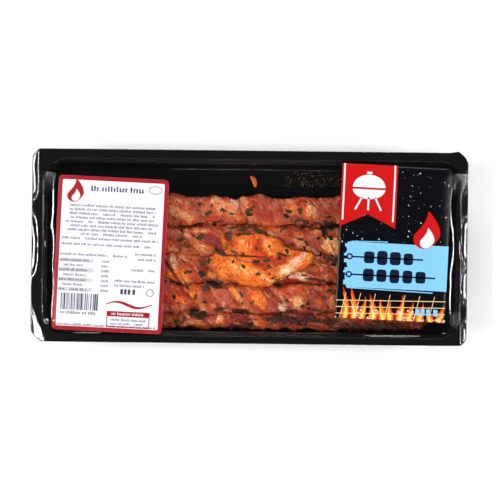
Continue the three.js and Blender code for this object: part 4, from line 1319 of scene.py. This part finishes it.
def skewer_row(u, v, size, chunks, random):
    """A skewer of chunks lying along a row, which stands in for a line of large print."""
    shapes = stroke([(u - size * 0.9, v), (u + (chunks * 1.05 + 0.6) * size, v)], size * 0.13)
    shapes += ring(u - size * 1.1, v, size * 0.26, size * 0.12, sides=16)
    for k in range(chunks):
        middle = u + (k + 0.45) * size * 1.05
        tall = size * (0.46 + 0.12 * next(random))
        wide = size * (0.38 + 0.08 * next(random))
        shapes.append([
            (middle + wide * math.copysign(abs(c) ** 0.5, c),
             v + tall * math.copysign(abs(s) ** 0.5, s))
            for c, s in disc(0, 0, 1, sides=28)
        ])
    return shapes


def tongue(u, low, height, width, sway, phase):
    """A tongue of flame from its foot up to its tip."""
    path, widths = [], []
    for k in range(15):
        t = k / 14
        path.append((u + sway * math.sin(phase + 3.2 * t) * t, low + height * t))
        widths.append(width * (1 - t) ** 0.8 * (0.75 + 0.5 * math.sin(math.pi * min(1, t * 1.5))))
    return stroke(path, np.maximum(widths, 0.08))


def print_info_frame():
    """The white label's red edge, and its ribbon, flame and boxed pill."""
    width = 2.7
    inner = round_box(HALF_U - width, HALF_V - width, 1.2)
    frame_band = band(round_box(HALF_U, HALF_V, LABEL_CORNER), inner)
    make_print("info_frame", frame_band, FRAME_RED, 1)
    ribbon = [(u, -33.4 + 1.8 * math.sin((u + 1) / 4.6)) for u in np.linspace(-1, 30, 32)]
    reds = [flame_icon(-25.2, 40.4, 9.6)]
    reds += stroke(ribbon, 0.7 + 1.3 * np.sin(np.linspace(0, math.pi, 32)) ** 2)
    reds += [box(0, 28.5, -41.6, -38)]
    outline = [(0, -48.6), (28.5, -48.6), (28.5, -38.4), (0, -38.4), (0, -48.6)]
    for ends in zip(outline, outline[1:]):
        reds += stroke(ends, 0.6)
    make_print("info_red", reds, FRAME_RED, 1)
    make_print("info_flame", [flame_icon(-25.0, 38.2, 5.0)], WHITE, 2)


def print_info_strokes(random):
    """Lines of strokes in the white label's red pill, its table and its columns."""
    make_print("info_pill_bars", ticks(3, 25, -40.6, 1.4, random), WHITE, 2)
    dark = []
    for k in range(8):
        reach = 31.5 - 4 * next(random) - (7 if k == 7 else 0)
        dark += ticks(-reach, reach, 31.6 - 2.75 * k, 1.3, random)
    lines = [(-33, 32, 9.4), (-33, 27, 5.4), (-34, -2, -1.6), (2, 11, -1.6), (17, 31, 0.2)]
    lines += [(19, 31, -3.2), (15, 31, -10.5), (4, 31, -18.2), (4, 24, -21.4)]
    lines += [(2.5, 26, -44.6), (2.5, 24, -47.2), (-33.5, 33, -49.2)]
    for k in range(7):
        v = -5.6 - 3.3 * k
        lines += [(-34 if k % 2 == 0 else -31, -19 + 5 * next(random), v), (-5.5, -0.5, v)]
    for left, right, v in lines:
        dark += ticks(left, right, v, 1.25, random)
    dark += [box(u, u + 1.7, -26.4, -22.9) for u in (8.2, 10.7, 13.2, 16.4)]
    make_print("info_strokes", dark, GREY, 1)


def print_info_bars(random):
    """The white label's heading, upright bars of many widths, pale stripes and two ovals."""
    bars = ticks(-15, 22.5, 42.4, 2.7, random)
    u = -31.8
    while u < -7:
        width = 0.33 * (1 + int(3 * next(random) ** 1.6))
        bars.append(box(u, u + width, -38.4, -27.2))
        u += width + 0.33 * (1 + int(2.4 * next(random) ** 1.4))
    make_print("info_bars", bars + ticks(-31.8, -8, -41.2, 1.5, random), INK, 1)
    soft = [box(-34, -11, -6.2 - 6.6 * k, -3.4 - 6.6 * k) for k in range(4)]
    make_print("info_stripes", soft, PALE_GREY, 0.5)
    ovals = ring(28.4, 44.8, 4.6, 0.5, 2.8) + ring(28.2, -24.6, 2.6, 0.6)
    make_print("info_rings", ovals, (0.2, 0.2, 0.24), 1)


def print_sparks(random):
    """Specks of light over the flames of the dark label."""
    sparks = []
    for _ in range(190):
        u = HALF_U * (2 * next(random) - 1)
        v = 50 - 62 * next(random) ** 0.8
        sparks.append(disc(u, v, 0.12 + 0.5 * next(random) ** 4, sides=6))
    make_print("front_sparks", sparks, (0.55, 0.50, 0.48), 1)


def print_pennant():
    """A red pennant with a grill, its seam and trims, and a red flame with a white heart."""
    pennant = [(-37.3, 9.5), (-18.5, 18.5), (0.5, 9.5), (0.5, 52.3), (-37.3, 52.3)]
    reds = [pennant, flame_icon(22.5, 6.5, 15.5)]
    make_print("front_red", reds, RED, 4)
    make_print("front_kettle", kettle_icon(-18.5, 35.5, 11), WHITE, 5, mottle=0.97)
    make_print("front_seams", [box(-30.5, -6.5, 35.2, 36.4)], RED, 6)
    trim = [box(-36, -34.9, 14, 52.3), box(-1.9, -0.8, 14, 52.3)]
    make_print("front_trim", trim, WHITE, 5)
    make_print("front_flame", [flame_icon(22.7, 2.6, 8.4)], WHITE, 5, mottle=0.97)


def print_blue_field(random):
    """A ragged blue field of brush strokes, with two skewers over it."""
    field = []
    v = -31.2
    while v < -1.0:
        height = 0.9 + 1.6 * next(random)
        left = -31.6 - 1.5 * next(random) + (1.6 if next(random) > 0.7 else 0)
        field.append(box(left, HALF_U, v, min(v + height + 0.05, -0.6)))
        v += height
    field += stroke([(-30.2, -31.6), (28, -32.6)], 0.7) + stroke([(-28.5, -0.3), (-4, 0.4)], 0.6)
    make_print("front_blue", field, SKY, 2)
    rows = skewer_row(-20, -10.6, 8.4, 4, random) + skewer_row(-20, -22.6, 8.4, 5, random)
    make_print("front_skewers", rows, NAVY, 3)


def print_flames(random):
    """Flames and their glow along the foot of the dark label."""
    feet = 11
    tongues = []
    for k in range(feet):
        u = -35 + 71 * (k + 0.3 + 0.4 * next(random)) / feet
        tall = 11 + 8 * next(random) + (10 if u < -24 else 0)
        tongues.append((u, tall, 5.0 + 1.8 * next(random), next(random) * 6))
    for name, ink, layer, tall_share, wide_share in FLAME_INKS:
        shapes = []
        for u, tall, wide, phase in tongues:
            shapes += tongue(u, -53, tall * tall_share, wide * wide_share, 2.4, phase)
        make_print(f"front_{name}", shapes, ink, layer)
    glow = []
    for _ in range(46):
        u = HALF_U * (2 * next(random) - 1)
        v = -52 + 7 * next(random) ** 1.5
        glow.append(disc(u, v, 0.5 + 1.1 * next(random), 0.3 + 0.6 * next(random), 8))
    make_print("front_glow", glow, GLOW, 2.5)


def print_rack():
    """The bars of a grill's rack over the flames, and four counting marks."""
    rack = []
    for k in range(3):
        rack += stroke([(-37, -40.5 - 4.4 * k), (37, -38 - 4.4 * k)], 0.42)
    for u in range(-34, 36, 10):
        rack += stroke([(u, -52), (u + 3.5, -35)], 0.36)
    make_print("front_rack", rack, (0.9, 0.62, 0.3), 3)
    counts = [box(u, u + w, -48.2, -43.8) for u, w in ((17, 2.6), (20.6, 2.6), (24.2, 2.6), (29, 3))]
    make_print("front_counts", counts, SKY, 3.5)


def print_labels():
    """Both labels' print. The parts of each draw from one source of numbers, in this order."""
    random = random_source(2024)
    print_info_frame()
    print_info_strokes(random)
    print_info_bars(random)
    random = random_source(4096)
    print_sparks(random)
    print_pennant()
    print_blue_field(random)
    print_flames(random)
    print_rack()


# ---- Stage ----

# The lights: name, place and size in metres, and power in watts.
LIGHTS = [
    # Thin strips high up draw the bright lines along the film's bent edges.
    ("left_strip", (-0.76, 0.0, 1.12), (0.8, 0.05), 6.5),
    ("right_strip", (0.76, 0.0, 1.12), (0.8, 0.05), 4.5),
    # Broad boxes, low enough not to be mirrored in the film's slopes, light the meat.
    ("left_box", (-1.45, 0.0, 0.75), (0.7, 0.34), 14),
    ("right_box", (1.45, 0.0, 0.75), (0.7, 0.34), 14),
    ("back_box", (0.0, 1.42, 0.78), (1.6, 0.34), 15),
    ("front_box", (0.0, -1.25, 0.9), (1.6, 0.3), 8),
    # A small box that the folded corner of the flange mirrors.
    ("corner_box", (-1.2, -0.55, 1.1), (0.25, 0.2), 5),
]


def add_area_light(name, place, size, power, aim=(0, 0, 0.02)):
    """A rectangular light. Its first side is level, and its second one leans with its aim."""
    light = bpy.data.lights.new(name, "AREA")
    light.shape = "RECTANGLE"
    light.size, light.size_y = size
    light.energy = power
    lamp = bpy.data.objects.new(name, light)
    lamp.location = place
    lamp.rotation_mode = "QUATERNION"
    lamp.rotation_quaternion = (Vector(aim) - Vector(place)).to_track_quat("-Z", "Y")
    bpy.context.scene.collection.objects.link(lamp)


def make_stage():
    """The pale floor, the lights, and how the picture is developed."""
    look = Look("floor_pale", {"Roughness": 0.9, "Base Color": (0.97, 0.97, 0.97, 1)})
    mesh = bpy.data.meshes.new("floor")
    reach = 3.0
    corners = [(-reach, -reach, 0), (reach, -reach, 0), (reach, reach, 0), (-reach, reach, 0)]
    mesh.from_pydata(corners, [], [(0, 1, 2, 3)])
    mesh.materials.append(look.material)
    floor = bpy.data.objects.new("floor", mesh)
    bpy.context.scene.collection.objects.link(floor)
    floor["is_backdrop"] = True

    world = bpy.data.worlds.new("studio")
    world.use_nodes = True
    background = world.node_tree.nodes["Background"]
    background.inputs["Color"].default_value = (0.95, 0.97, 1, 1)
    background.inputs["Strength"].default_value = 0.045
    bpy.context.scene.world = world
    for name, place, size, power in LIGHTS:
        add_area_light(name, place, size, power)
    bpy.context.scene.view_settings.view_transform = "Standard"


def make_camera():
    """Looks straight down, with the tray turned a little clockwise in the picture."""
    picture_width = 0.339  # of what it sees at the height of the flange
    distance = 1.2
    camera = bpy.data.cameras.new("camera")
    camera.sensor_width = 36
    camera.lens = distance * camera.sensor_width / picture_width
    eye = bpy.data.objects.new("camera", camera)
    eye.location = (0.0004, -0.0024, distance + FLANGE_TOP * MM)
    eye.rotation_euler = (0, 0, math.radians(0.65))
    bpy.context.scene.collection.objects.link(eye)
    bpy.context.scene.camera = eye


# ---- Assembly ----

make_camera()
make_stage()
make_tray()
make_film()
meat = meat_material("pork_meat")
meats = [make_roll(number, meat) for number in range(len(ROLLS))]
meats.append(make_flap(meat))
make_scrap(meat)
make_herbs(meat_tree(meats))
make_marinade()
make_paper("info", WHITE, 0.42)
make_paper("front", NIGHT, 0.22)
print_labels()

visual_low, visual_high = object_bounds()
boxes = {"cad": [cad_low, cad_high], "visual": [visual_low, visual_high]}
{name: [list(corner) for corner in pair] for name, pair in boxes.items()}
